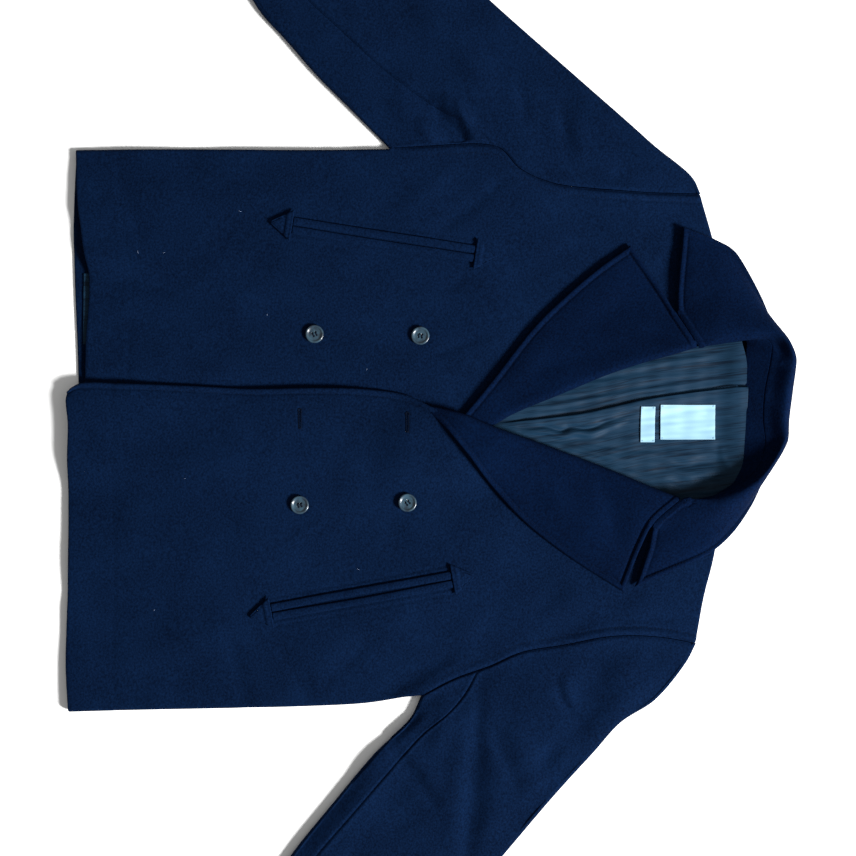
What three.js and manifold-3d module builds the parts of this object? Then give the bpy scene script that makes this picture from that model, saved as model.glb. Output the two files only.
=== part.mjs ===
// Double-breasted pea coat in melton wool, laid open on its back, left front over right front.
// Millimetres. +X is the wearer's left, +Y runs from the hem to the collar, +Z is up.

import * as THREE from 'three';
import { mergeVertices } from 'three/addons/utils/BufferGeometryUtils.js';
import Module from 'manifold-3d';

// Cloth and layers
const WOOL = 2.2;
const DOUBLE_WOOL = 4.4;
const SLEEVE_CLOTH = 2.9;
const LINING = 1.0;
const LABEL = 1.0;
const LABEL_CLEAR = 0.5;
const GAP = 0.3;
const LAPEL_CLEAR = 0.7;
const HEAD_GAP = 0.8;
const BODY_HEIGHT = 8.0;
const SLEEVE_HEIGHT = 9.4;
const SIDE_ROUND = BODY_HEIGHT / 2 - GAP / 2;
const ROLL_ROUND = WOOL + LAPEL_CLEAR + DOUBLE_WOOL;
const ROLL_CLEAR = 0.8;

// Plan sizes
const PANEL_LENGTH = 700;
const BUTTON_DIAMETER = 20;
const BUTTON_HEIGHT = 3.4;
const SEAT_REACH = 0.6;
const JET_WIDTH = 9;
const JET_HEIGHT = 1.6;
const ARROW_LENGTH = 24;
const ARROW_WIDTH = 35;
const OVERLAP_EDGE = 29;

// Shares of a panel's length or top edge where one of its edge lines hands over to the next
const SIDE_SHARE = 0.5;
const EDGE_SHARE = 0.53;
const ROLL_SHARE = 0.93;
const NECK_START = 0.28;
const NECK_END = 0.68;

// Colours
const NAVY = '#14284a';
const SLATE = '#33475b';
const LABEL_BLUE = '#cfe9ee';
const HORN = '#3a4858';

// Plan points of the edges that show, hem to shoulder, in [x, y]
const RIGHT_SIDE = [[-302, 9], [-303, 130], [-302, 250], [-303, 354]];
const RIGHT_ARMHOLE = [[-303, 354], [-306, 400], [-308, 456], [-303, 477], [-281, 498],
  [-265, 535], [-259, 578], [-255, 630], [-253, 697]];
const LEFT_SIDE = [[317, 1], [315, 88], [313, 183], [308, 325], [301, 372], [299, 389]];
const LEFT_ARMHOLE = [[299, 389], [280, 426], [266, 465], [251, 500], [243, 546], [233, 600],
  [234, 651], [241, 692]];
const RIGHT_SHOULDER = [[-253, 697], [-204, 711], [-150, 724], [-102, 734]];
const LEFT_SHOULDER = [[241, 692], [192, 701], [142, 713], [84, 720]];
const RIGHT_HEM = [[-302, 9], [-251, 11], [-195, 18], [-158, 24], [-89, 20], [-40, 19], [29, 19]];
const LEFT_HEM = [[317, 1], [262, -2], [190, 0], [119, 1], [40, 1], [-1, 2], [-30, 0], [-39, 4]];
const BACK_HEM = [[-302, 9], [-228, 6], [-161, 7], [-50, 11], [120, 10], [270, 7], [317, 1]];
const BACK_NECK = [[-102, 734], [-92, 744], [-20, 747], [40, 743], [68, 731], [84, 720]];
const LEFT_FRONT_EDGE = [[-39, 4], [-45, 16], [-44.7, 64], [-42, 140], [-39, 202], [-40, 269],
  [-38.6, 328], [-32, 373], [-22, 395]];
const RIGHT_FRONT_EDGE = [[OVERLAP_EDGE, 19], [OVERLAP_EDGE, 200], [OVERLAP_EDGE, 403]];

// Fold lines of the lapels, break point to gorge, and the lapels' free edges
const RIGHT_ROLL = [[27, 404], [2, 468], [-11, 491], [-33, 544], [-55, 597], [-68, 637], [-76, 666],
  [-84, 692]];
const LEFT_ROLL = [[-20, 398], [-12, 434], [1, 465], [23, 526], [50, 597], [70, 645], [81, 674]];
const RIGHT_LAPEL_EDGE = [[24, 405], [-12, 437], [-51, 469], [-107, 513], [-145, 552], [-174, 587],
  [-197, 620]];
const LEFT_LAPEL_EDGE = [[-17, 396], [5, 416], [34, 440], [67, 465], [108, 503], [145, 550],
  [185, 612]];
const RIGHT_LAPEL_TOP = [[-84, 692], [-122, 669], [-152, 651], [-197, 620]];
const LEFT_LAPEL_TOP = [[81, 674], [108, 645], [134, 632], [185, 612]];

// Neck edges of the fronts under the collar
const RIGHT_NECK = [[-92, 689], [-100, 700], [-104, 718], [-102, 734]];
const LEFT_NECK = [[92, 667], [99, 684], [94, 706], [84, 720]];

// Sleeve edges from the armhole to the cuff, and the height of the crown between
const RIGHT_SLEEVE = {
  outer: [[-253, 697], [-271, 688], [-306, 646], [-331, 618], [-396, 544], [-466, 465], [-563, 362],
    [-663, 260]],
  inner: [[-303, 354], [-350, 307], [-383, 274], [-422, 240], [-453, 212], [-500, 184], [-551, 153]],
};
const LEFT_SLEEVE = {
  outer: [[241, 692], [262, 681], [303, 647], [328, 609], [361, 579], [407, 537], [475, 479],
    [580, 389], [688, 297]],
  inner: [[299, 389], [325, 376], [362, 338], [418, 291], [475, 245], [530, 210], [587, 179]],
};

// Shares of the armhole from shoulder to underarm that the body and the sleeve head both use
const SLEEVE_SEAM = 0.685;
const HEAD_SHARES = [0.045, 0.14, 0.24, 0.34, 0.43, 0.51, 0.58, 0.64, SLEEVE_SEAM, 0.73, 0.79, 0.86,
  0.955];

// Ridges and troughs of the cloth: a line in plan, its width across and its height
const RIGHT_FOLDS = [
  { x0: -292, y0: 470, x1: -230, y1: 540, width: 16, height: 1.6 },
  { x0: -262, y0: 600, x1: -205, y1: 650, width: 20, height: 1.4 },
  { x0: -150, y0: 60, x1: -130, y1: 210, width: 26, height: 0.9 },
  { x0: -209, y0: -60, x1: -198, y1: 100, width: 30, height: 4.2 },
];
const LEFT_FOLDS = [
  { x0: 290, y0: 392, x1: 215, y1: 450, width: 18, height: 1.6 },
  { x0: 238, y0: 600, x1: 190, y1: 560, width: 22, height: 1.2 },
  { x0: 120, y0: 40, x1: 150, y1: 180, width: 30, height: 0.9 },
];
const RIGHT_SLEEVE_FOLDS = [
  { x0: -316, y0: 398, x1: -350, y1: 480, width: 20, height: 2.6 },
  { x0: -334, y0: 350, x1: -384, y1: 440, width: 20, height: 2.2 },
  { x0: -300, y0: 610, x1: -420, y1: 470, width: 22, height: 1.8 },
  { x0: -500, y0: 330, x1: -590, y1: 250, width: 20, height: 2.0 },
];
const LEFT_SLEEVE_FOLDS = [
  { x0: 320, y0: 392, x1: 352, y1: 450, width: 20, height: 2.4 },
  { x0: 280, y0: 620, x1: 390, y1: 500, width: 22, height: 2.0 },
  { x0: 400, y0: 330, x1: 500, y1: 280, width: 18, height: 1.6 },
  { x0: 510, y0: 350, x1: 620, y1: 270, width: 20, height: 2.0 },
];

// The collar from the right front end to the left one: neck seam in space, fold and leaf edge in
// plan, the fold's height, the leaf edge's height, and how far the leaf is tucked under itself
const COLLAR = [
  { neck: [-90, 699, 5.2], fold: [-83, 693], height: 26, edge: [-217, 676], rest: 13.2, tuck: 0 },
  { neck: [-94, 716, 5.2], fold: [-87, 715], height: 29, edge: [-203, 713], rest: 12.9, tuck: 0 },
  { neck: [-96, 738, 7.5], fold: [-91, 742], height: 31, edge: [-188, 737], rest: 9, tuck: 0 },
  { neck: [-91, 747, 9.4], fold: [-94, 770], height: 33, edge: [-148, 763], rest: 6, tuck: 0.1 },
  { neck: [-80, 747, 9.4], fold: [-88, 787], height: 33, edge: [-112, 784], rest: 5, tuck: 0.4 },
  { neck: [-62, 746.5, 9.4], fold: [-70, 799], height: 30, edge: [-90, 797], rest: 5, tuck: 0.8 },
  { neck: [-36, 746, 9.4], fold: [-38, 797], height: 27, edge: [-38, 797], rest: 5, tuck: 1 },
  { neck: [-8, 745.5, 9.4], fold: [-4, 793], height: 26, edge: [-4, 793], rest: 5, tuck: 1 },
  { neck: [18, 744, 9.4], fold: [19, 789], height: 28, edge: [24, 792], rest: 5, tuck: 0.75 },
  { neck: [44, 742, 9.4], fold: [34, 768], height: 31, edge: [52, 779], rest: 5, tuck: 0.3 },
  { neck: [64, 733, 9.4], fold: [46, 750], height: 32, edge: [85, 756], rest: 6, tuck: 0.05 },
  { neck: [74, 719, 8.4], fold: [60, 730], height: 31, edge: [119, 733], rest: 9, tuck: 0 },
  { neck: [85, 702, 6.4], fold: [75, 708], height: 30, edge: [147, 697], rest: 13.8, tuck: 0 },
  { neck: [91, 686, 5.2], fold: [83, 680], height: 27, edge: [179, 624], rest: 13.2, tuck: 0 },
];
const RIGHT_NOTCH = [-120, 672];
const LEFT_NOTCH = [112, 650];
const FOLD_ROUND = 7.5;
const TUCK_LENGTH = 30;

const BUTTONS = [
  { node: 'button_right_lower', x: -98.9, y: 272.5, side: 'right' },
  { node: 'button_right_upper', x: -97.1, y: 388.7, side: 'right' },
  { node: 'button_left_lower', x: 88.9, y: 256.2, side: 'left' },
  { node: 'button_left_upper', x: 86.4, y: 374.6, side: 'left' },
];
const POCKETS = [
  { name: 'right', from: [-218, 249], to: [-187, 448] },
  { name: 'left', from: [207, 226], to: [171, 423] },
];

const smoothstep = (t) => THREE.MathUtils.smoothstep(t, 0, 1);

// Smooth plan path through a few points, read by its share of the length
function smoothPath(points) {
  const curve = new THREE.CatmullRomCurve3(
    points.map(([x, y]) => new THREE.Vector3(x, y, 0)), false, 'centripetal');
  curve.arcLengthDivisions = 300;
  return (t) => curve.getPointAt(THREE.MathUtils.clamp(t, 0, 1));
}

// Two paths in a row, the first one taking the given share
function inTurn(first, second, share) {
  return (t) => (t <= share ? first(t / share) : second((t - share) / (1 - share)));
}

// Plan surface stretched between four edge paths
function patch(left, right, bottom, top) {
  const corners = [left(0), right(0), left(1), right(1)];
  return (u, v) => {
    const point = left(v).multiplyScalar(1 - u).addScaledVector(right(v), u);
    point.addScaledVector(bottom(u), 1 - v).addScaledVector(top(u), v);
    point.addScaledVector(corners[0], -(1 - u) * (1 - v)).addScaledVector(corners[1], -u * (1 - v));
    return point.addScaledVector(corners[2], -(1 - u) * v).addScaledVector(corners[3], -u * v);
  };
}

// Drop of a rounded edge at a distance from it
function edgeDrop(distance, radius) {
  const across = THREE.MathUtils.clamp(1 - distance / radius, 0, 1);
  return radius * (1 - Math.sqrt(1 - across * across));
}

// Distances from an edge that draw its quarter round evenly
function roundSteps(radius, steps) {
  return Array.from({ length: steps + 1 }, (_, k) => radius * (1 - Math.cos((k / steps) * Math.PI / 2)));
}

function distanceToSegment(x, y, x0, y0, x1, y1) {
  const dx = x1 - x0;
  const dy = y1 - y0;
  const along = THREE.MathUtils.clamp(((x - x0) * dx + (y - y0) * dy) / (dx * dx + dy * dy), 0, 1);
  return { distance: Math.hypot(x - x0 - along * dx, y - y0 - along * dy), along };
}

function distanceToPath(points, x, y) {
  let nearest = Infinity;
  for (let k = 0; k + 1 < points.length; k += 1) {
    const [from, to] = [points[k], points[k + 1]];
    nearest = Math.min(nearest, distanceToSegment(x, y, from[0], from[1], to[0], to[1]).distance);
  }
  return nearest;
}

// Height of all the folds of a table at a plan point
function foldHeight(folds, x, y) {
  let height = 0;
  for (const fold of folds) {
    const { distance, along } = distanceToSegment(x, y, fold.x0, fold.y0, fold.x1, fold.y1);
    const taper = 0.35 + 0.65 * Math.sin(Math.PI * along);
    height += fold.height * taper * Math.exp(-((distance / fold.width) ** 2));
  }
  return height;
}

// Value along Y, read from rows of [y, value]
function profile(rows, y) {
  if (y <= rows[0][0]) return rows[0][1];
  for (let k = 0; k + 1 < rows.length; k += 1) {
    const [from, to] = [rows[k], rows[k + 1]];
    if (y <= to[0]) return from[1] + (to[1] - from[1]) * smoothstep((y - from[0]) / (to[0] - from[0]));
  }
  return rows[rows.length - 1][1];
}

// The fronts rise towards the fold of the lapels, most of all near the neck
const RIGHT_LIFT = [[404, 0], [470, 1], [560, 7], [680, 13], [735, 1]];
const LEFT_LIFT = [[404, 0], [470, 1], [560, 5], [680, 12], [722, 1]];
const LIFT_REACH = 72;

function rollLift(rows, roll, x, y) {
  const distance = distanceToPath(roll, x, y);
  return profile(rows, y) * (1 - smoothstep(distance / LIFT_REACH));
}

// The left front climbs over the hidden edge of the right front and over its lapel's lower end
function overlapLift(x, y) {
  const overFront = (WOOL + GAP + 0.2) * (1 - smoothstep((x - OVERLAP_EDGE - 4) / 34));
  const fromLapel = distanceToSegment(x, y, 27, 404, -4, 455).distance;
  const overLapel = (DOUBLE_WOOL + LAPEL_CLEAR + 0.6) * (1 - smoothstep((fromLapel - 22) / 56));
  const fade = 1 - smoothstep((y - 500) / 70);
  return overFront * fade + overLapel;
}

// Height of a front's face before its edges are rounded
function frontTop(side, x, y) {
  if (side === 'right') {
    return BODY_HEIGHT + rollLift(RIGHT_LIFT, RIGHT_ROLL, x, y) + foldHeight(RIGHT_FOLDS, x, y);
  }
  const lift = rollLift(LEFT_LIFT, LEFT_ROLL, x, y) + overlapLift(x, y);
  return BODY_HEIGHT + lift + foldHeight(LEFT_FOLDS, x, y);
}

// Height of a lapel's face, which the leaf of the collar meets at the notch
const lapelTop = (side, x, y) => frontTop(side, x, y) + LAPEL_CLEAR + DOUBLE_WOOL;

// Points at every pairing of row and column
function sheet(rows, columns, pointAt) {
  return rows.map((v) => columns.map((u) => pointAt(u, v)));
}

// Evenly spaced values, both ends among them
function evenly(from, to, steps) {
  return Array.from({ length: steps + 1 }, (_, k) => from + ((to - from) * k) / steps);
}

// Direction of a line of points at one of them, from the parabola through it and two neighbours
function slopeAt(line, k) {
  const last = line.length - 1;
  const first = Math.min(Math.max(k - 1, 0), last - 2);
  const [before, middle, after] = [line[first], line[first + 1], line[first + 2]];
  const near = Math.max(before.distanceTo(middle), 1e-6);
  const far = Math.max(middle.distanceTo(after), 1e-6);
  const rise = middle.clone().sub(before).divideScalar(near);
  const fall = after.clone().sub(middle).divideScalar(far);
  const bend = fall.clone().sub(rise).divideScalar(near + far);
  const offset = [-near, 0, far][k - first];
  const slope = rise.multiplyScalar(far).addScaledVector(fall, near).divideScalar(near + far);
  return slope.addScaledVector(bend, 2 * offset);
}

// Closed wall: the face sheet, a second sheet one thickness behind it, and the rim between them.
// Pieces cut from one sheet take their columns of it, so their walls end side by side.
function wallGeometry(wholeFace, thickness, facing, from = 0, to = wholeFace[0].length) {
  const wholeBack = wholeFace.map((row, i) => row.map((point, j) => {
    const along = slopeAt(row, j);
    const up = slopeAt(wholeFace.map((other) => other[j]), i);
    const normal = along.cross(up).normalize().multiplyScalar(facing);
    return point.clone().addScaledVector(normal, -thickness);
  }));
  const face = wholeFace.map((row) => row.slice(from, to));
  const back = wholeBack.map((row) => row.slice(from, to));
  const rows = face.length;
  const columns = to - from;
  const positions = [];
  for (const point of [...face, ...back].flat()) positions.push(point.x, point.y, point.z);
  const faceIndex = (i, j) => i * columns + j;
  const backIndex = (i, j) => (rows + i) * columns + j;
  const triangles = [];
  const quad = (a, b, c, d) => triangles.push(a, b, c, a, c, d);
  for (let i = 0; i + 1 < rows; i += 1) {
    for (let j = 0; j + 1 < columns; j += 1) {
      quad(faceIndex(i, j), faceIndex(i, j + 1), faceIndex(i + 1, j + 1), faceIndex(i + 1, j));
      quad(backIndex(i + 1, j), backIndex(i + 1, j + 1), backIndex(i, j + 1), backIndex(i, j));
    }
    quad(faceIndex(i + 1, 0), backIndex(i + 1, 0), backIndex(i, 0), faceIndex(i, 0));
    const last = columns - 1;
    quad(faceIndex(i, last), backIndex(i, last), backIndex(i + 1, last), faceIndex(i + 1, last));
  }
  for (let j = 0; j + 1 < columns; j += 1) {
    quad(faceIndex(0, j), backIndex(0, j), backIndex(0, j + 1), faceIndex(0, j + 1));
    const last = rows - 1;
    quad(faceIndex(last, j + 1), backIndex(last, j + 1), backIndex(last, j), faceIndex(last, j));
  }
  return facingOut(positions, triangles);
}

// Geometry whose triangles are turned so that the solid's faces point out
function facingOut(positions, triangles) {
  const corner = (k) => new THREE.Vector3().fromArray(positions, 3 * triangles[k]);
  let volume = 0;
  for (let k = 0; k < triangles.length; k += 3) volume += corner(k).dot(corner(k + 1).cross(corner(k + 2)));
  if (volume < 0) triangles.reverse();
  const geometry = new THREE.BufferGeometry();
  geometry.setAttribute('position', new THREE.Float32BufferAttribute(positions, 3));
  geometry.setIndex(triangles);
  geometry.computeVertexNormals();
  return geometry;
}

const coat = new THREE.Group();

function addPiece(name, geometry, colour, roughness) {
  const material = new THREE.MeshStandardMaterial({ color: colour, roughness, metalness: 0 });
  const mesh = new THREE.Mesh(geometry, material);
  mesh.name = name;
  coat.add(mesh);
  return mesh;
}

// Rows of a body panel along its armhole
const armholeRows = () => HEAD_SHARES.map((share) => 1 - (1 - SIDE_SHARE) * share).reverse();

// Back panel: its face sheet is the underside, curled up at the sides and shoulders
function makeBack() {
  const left = inTurn(smoothPath(RIGHT_SIDE), smoothPath(RIGHT_ARMHOLE), SIDE_SHARE);
  const right = inTurn(smoothPath(LEFT_SIDE), smoothPath(LEFT_ARMHOLE), SIDE_SHARE);
  const shoulderLine = smoothPath(RIGHT_SHOULDER);
  const farShoulder = smoothPath([...LEFT_SHOULDER].reverse());
  const neck = smoothPath(BACK_NECK);
  const top = inTurn(inTurn(shoulderLine, neck, NECK_START / NECK_END), farShoulder, NECK_END);
  const plan = patch(left, right, smoothPath(BACK_HEM), top);
  const width = (v) => left(v).distanceTo(right(v));
  const edges = roundSteps(SIDE_ROUND, 3);
  const columns = [...edges.map((d) => ({ d })), ...evenly(0.06, 0.94, 11).map((u) => ({ u })),
    ...edges.map((d) => ({ fromEnd: d })).reverse()];
  const rows = [...evenly(0, SIDE_SHARE, 4), ...armholeRows(),
    ...edges.map((d) => 1 - d / PANEL_LENGTH).reverse()];
  return sheet(rows, columns, (column, v) => {
    let u = column.u;
    if (column.d !== undefined) u = column.d / width(v);
    if (column.fromEnd !== undefined) u = 1 - column.fromEnd / width(v);
    const point = plan(u, v);
    const sideDistance = Math.min(u, 1 - u) * width(v);
    if (v <= SIDE_SHARE) point.z = edgeDrop(sideDistance, SIDE_ROUND);
    const onShoulder = u < NECK_START || u > NECK_END;
    if (onShoulder) point.z = Math.max(point.z, edgeDrop((1 - v) * PANEL_LENGTH, SIDE_ROUND));
    return point;
  });
}

// Front panel from its side seam to its front edge and lapel fold
function makeFront(side) {
  const isRight = side === 'right';
  const seam = inTurn(smoothPath(isRight ? RIGHT_SIDE : LEFT_SIDE),
    smoothPath(isRight ? RIGHT_ARMHOLE : LEFT_ARMHOLE), SIDE_SHARE);
  const roll = insetRoll(side);
  const neck = smoothPath(isRight ? RIGHT_NECK : LEFT_NECK);
  const edge = smoothPath(isRight ? RIGHT_FRONT_EDGE : LEFT_FRONT_EDGE);
  const opening = inTurn(inTurn(edge, roll, EDGE_SHARE / ROLL_SHARE), neck, ROLL_SHARE);
  const shoulder = smoothPath(isRight ? RIGHT_SHOULDER : LEFT_SHOULDER);
  const plan = patch(seam, opening, smoothPath(isRight ? RIGHT_HEM : LEFT_HEM), shoulder);
  const width = (v) => seam(v).distanceTo(opening(v));
  const edges = roundSteps(SIDE_ROUND, 3);
  const columns = [...edges.map((d) => ({ d })), ...evenly(0.06, 1, 13).map((u) => ({ u }))];
  const rows = [...evenly(0, 0.43, 5), SIDE_SHARE, ...armholeRows(),
    ...edges.map((d) => 1 - d / PANEL_LENGTH).reverse()];
  return sheet(rows, columns, (column, v) => {
    const u = column.u === undefined ? column.d / width(v) : column.u;
    const point = plan(u, v);
    const sideDrop = v <= SIDE_SHARE ? edgeDrop(u * width(v), SIDE_ROUND) : 0;
    const shoulderDrop = edgeDrop((1 - v) * PANEL_LENGTH, SIDE_ROUND);
    point.z = frontTop(side, point.x, point.y) - Math.max(sideDrop, shoulderDrop);
    return point;
  });
}

// Fold line moved towards the panel, where the lapel's roll is centred
function insetRoll(side) {
  const isRight = side === 'right';
  const roll = smoothPath(isRight ? RIGHT_ROLL : LEFT_ROLL);
  const towards = isRight ? -1 : 1;
  return (t) => {
    const ahead = roll(Math.min(1, t + 0.01));
    const behind = roll(Math.max(0, t - 0.01));
    const along = ahead.sub(behind).normalize();
    const inset = (ROLL_ROUND + ROLL_CLEAR) * smoothstep(t / 0.1);
    const across = new THREE.Vector3(-along.y, along.x, 0);
    if (Math.sign(across.x) !== towards) across.negate();
    return roll(t).addScaledVector(across, inset);
  };
}

// Lapel: double cloth on the front, rolled round the front's edge at the fold
function makeLapel(side) {
  const isRight = side === 'right';
  const roll = smoothPath(isRight ? RIGHT_ROLL : LEFT_ROLL);
  const free = smoothPath(isRight ? RIGHT_LAPEL_EDGE : LEFT_LAPEL_EDGE);
  const top = smoothPath(isRight ? RIGHT_LAPEL_TOP : LEFT_LAPEL_TOP);
  const bottom = (t) => roll(0).lerp(free(0), t);
  const plan = patch(roll, free, bottom, top);
  const width = (v) => roll(v).distanceTo(free(v));
  const edges = roundSteps(ROLL_ROUND, 5);
  const columns = [...edges.map((d) => ({ d })), ...evenly(0.2, 1, 6).map((u) => ({ u }))];
  const rows = evenly(0.1, 0.998, 14);
  return sheet(rows, columns, (column, v) => {
    const flat = Math.min(0.16, ROLL_ROUND / width(v));
    const u = column.u === undefined ? (column.d / ROLL_ROUND) * flat : column.u;
    const point = plan(u, v);
    const radius = Math.max(flat * width(v), 1);
    const drop = edgeDrop(u * width(v), radius) * (ROLL_ROUND / radius);
    point.z = lapelTop(side, point.x, point.y) - drop;
    return point;
  });
}

// Five control points of the collar's section at one row of the table
function collarSection(row, index) {
  const fold = new THREE.Vector3(row.fold[0], row.fold[1], 0);
  const neck = new THREE.Vector3(...row.neck);
  const outward = collarOutward(index);
  const over = foldedOver(row, index, fold, outward);
  const under = foldedUnder(row, fold, neck, outward);
  return [neck, ...over.map((point, k) => point.lerp(under[k], row.tuck))];
}

// Plan direction away from the neck at a row, square to the fold line
function collarOutward(index) {
  const before = COLLAR[Math.max(0, index - 1)].fold;
  const after = COLLAR[Math.min(COLLAR.length - 1, index + 1)].fold;
  return new THREE.Vector3(-(after[1] - before[1]), after[0] - before[0], 0).normalize();
}

// Leaf spread over the shoulder: inner face, fold, middle of the leaf, leaf edge
function foldedOver(row, index, fold, outward) {
  const inner = fold.clone().setZ(row.height - FOLD_ROUND);
  const top = fold.clone().addScaledVector(outward, FOLD_ROUND).setZ(row.height);
  const edge = new THREE.Vector3(row.edge[0], row.edge[1], row.rest);
  const middle = top.clone().lerp(edge, 0.5);
  middle.z += 2.5;
  if (index === 0) middle.set(...RIGHT_NOTCH, lapelTop('right', ...RIGHT_NOTCH));
  if (index === COLLAR.length - 1) middle.set(...LEFT_NOTCH, lapelTop('left', ...LEFT_NOTCH));
  return [inner, top, middle, edge];
}

// Leaf tucked under: middle of the stand, fold, outermost point, edge on the surface
function foldedUnder(row, fold, neck, outward) {
  const inner = neck.clone().lerp(fold, 0.5).setZ(row.height * 0.68);
  const top = fold.clone().addScaledVector(outward, -FOLD_ROUND).setZ(row.height);
  const outermost = fold.clone().setZ(row.height * 0.45);
  const edge = fold.clone().addScaledVector(outward, -TUCK_LENGTH).setZ(0);
  return [inner, top, outermost, edge];
}

// Shares of the collar's section: the stand up to its seam, then the leaf over the fold
const STAND_SHARES = [0, 0.08, 0.16, 0.245];
const LEAF_SHARES = [0.255, 0.33, 0.41, 0.49, 0.56, 0.63, 0.72, 0.81, 0.9, 1];

function makeCollar() {
  const sections = COLLAR.map(collarSection);
  const rails = sections[0].map((_, k) => new THREE.CatmullRomCurve3(
    sections.map((section) => section[k]), false, 'catmullrom', 0.4));
  const stations = evenly(0, 1, 28);
  return stations.map((station) => {
    const points = rails.map((rail) => rail.getPoint(station));
    const section = new THREE.CatmullRomCurve3(points, false, 'centripetal');
    return [...STAND_SHARES, ...LEAF_SHARES].map((share) => {
      const point = section.getPoint(share);
      point.z = Math.max(point.z, 0);
      return point;
    });
  });
}

// One point of a sleeve's ring; the ring runs over the top, round an edge and along the floor
function sleevePoint(sleeve, station, { part, share = 0, angle = 0 }) {
  const width = sleeve.outer(station).distanceTo(sleeve.inner(station));
  const height = BODY_HEIGHT + (SLEEVE_HEIGHT - BODY_HEIGHT) * smoothstep(station / 0.2);
  const radius = height / 2;
  const round = (radius * (1 - Math.cos(angle))) / width;
  if (part === 'outerEdge' || part === 'innerEdge') {
    const point = sleeve.plan(part === 'outerEdge' ? round : 1 - round, station);
    return point.setZ(radius + radius * Math.sin(angle));
  }
  const point = sleeve.plan(share, station);
  point.z = part === 'floor' ? 0 : height + foldHeight(sleeve.folds, point.x, point.y);
  return point;
}

// Plan and folds of one sleeve
function sleeveForm(side) {
  const edges = side === 'right' ? RIGHT_SLEEVE : LEFT_SLEEVE;
  const outer = smoothPath(edges.outer);
  const inner = smoothPath(edges.inner);
  const armhole = smoothPath([...(side === 'right' ? RIGHT_ARMHOLE : LEFT_ARMHOLE)].reverse());
  const apart = new THREE.Vector3(side === 'right' ? -HEAD_GAP : HEAD_GAP, 0.6 * HEAD_GAP, 0);
  const head = (t) => armhole(t).add(apart);
  const cuff = (t) => outer(1).lerp(inner(1), t).add(apart);
  const shoulder = (t) => outer(t).add(apart);
  const underarm = (t) => inner(t).add(apart);
  const folds = side === 'right' ? RIGHT_SLEEVE_FOLDS : LEFT_SLEEVE_FOLDS;
  return { outer, inner, folds, plan: patch(shoulder, underarm, head, cuff) };
}

const QUARTER = Math.PI / 2;

// One ring of a sleeve: floor, outer edge, crown, inner edge and floor again. Both of its seams are
// pairs of places a hair apart, and the top sleeve ends between the first pair.
const SEAM_HALF_GAP = 0.001;
const FLOOR_SEAM = HEAD_SHARES[1];
const EDGE_ANGLES = [0.99, 0.5, 0, -0.5, -0.99].map((share) => share * QUARTER);
const TOP_RING = [
  { part: 'floor', share: FLOOR_SEAM - SEAM_HALF_GAP },
  { part: 'floor', share: HEAD_SHARES[0] },
  ...[...EDGE_ANGLES].reverse().map((angle) => ({ part: 'outerEdge', angle })),
  ...HEAD_SHARES.filter((share) => share < SLEEVE_SEAM).map((share) => ({ part: 'crown', share })),
  { part: 'crown', share: SLEEVE_SEAM - SEAM_HALF_GAP },
];
const UNDER_RING = [
  { part: 'crown', share: SLEEVE_SEAM + SEAM_HALF_GAP },
  ...HEAD_SHARES.filter((share) => share > SLEEVE_SEAM).map((share) => ({ part: 'crown', share })),
  ...EDGE_ANGLES.map((angle) => ({ part: 'innerEdge', angle })),
  ...HEAD_SHARES.filter((share) => share > FLOOR_SEAM).reverse().map((share) => ({ part: 'floor', share })),
  { part: 'floor', share: FLOOR_SEAM + SEAM_HALF_GAP },
];

// Whole face of a sleeve, top half first
function makeSleeve(side) {
  const sleeve = sleeveForm(side);
  const stations = [0, 0.015, ...evenly(0.06, 1, 11)];
  const ring = [...TOP_RING, ...UNDER_RING];
  return stations.map((station) => ring.map((place) => sleevePoint(sleeve, station, place)));
}

// Piece spread over a plan surface at a height rule
function laidSheet(plan, rows, columns, heightAt) {
  return sheet(evenly(0, 1, rows), evenly(0, 1, columns), (u, v) => {
    const point = plan(u, v);
    return point.setZ(heightAt(point.x, point.y));
  });
}

// Plan surface with straight edges between four corners, in turn round the piece
function fourCornered([a, b, c, d]) {
  return patch(smoothPath([a, d]), smoothPath([b, c]), smoothPath([a, b]), smoothPath([d, c]));
}

const LINING_TOP = WOOL + GAP + LINING;
const PLEAT = [[0, 467], [-12, 567], [-28, 640], [-41, 735]];
const PLEAT_HEIGHT = 1.2;
const pleatLine = smoothPath(PLEAT);

// Height of the lining, raised along its pleat
function liningTop(x, y) {
  const share = THREE.MathUtils.clamp((y - PLEAT[0][1]) / (PLEAT[3][1] - PLEAT[0][1]), 0, 1);
  const beside = x - pleatLine(share).x;
  return LINING_TOP + PLEAT_HEIGHT * (1 - smoothstep(Math.abs(beside - 5) / 26)) * smoothstep(8 * share);
}

// Lining inside the neck, with the centre-back pleat as a low step
function makeNeckLining() {
  const left = smoothPath([[-6, 436], [-34, 510], [-70, 600], [-83, 680], [-88, 740]]);
  const right = smoothPath([[6, 436], [48, 540], [76, 620], [84, 676], [78, 706], [62, 731]]);
  const neckSeam = smoothPath([[-88, 740], [-70, 744], [-20, 745], [36, 741], [62, 731]]);
  const lowEnd = smoothPath([[-6, 436], [6, 436]]);
  return laidSheet(patch(left, right, lowEnd, neckSeam), 15, 12, liningTop);
}

// Fold of the lining that shows beside the right front's hem
function makeHemLining() {
  const corners = [[-166, 17.5], [-88, 16.5], [-88, 60], [-166, 60]];
  return laidSheet(fourCornered(corners), 2, 6, () => LINING_TOP);
}

// Blank woven label on the lining
function makeLabel(corners) {
  return laidSheet(fourCornered(corners), 4, 4, (x, y) => liningTop(x, y) + LABEL_CLEAR + LABEL);
}

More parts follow.
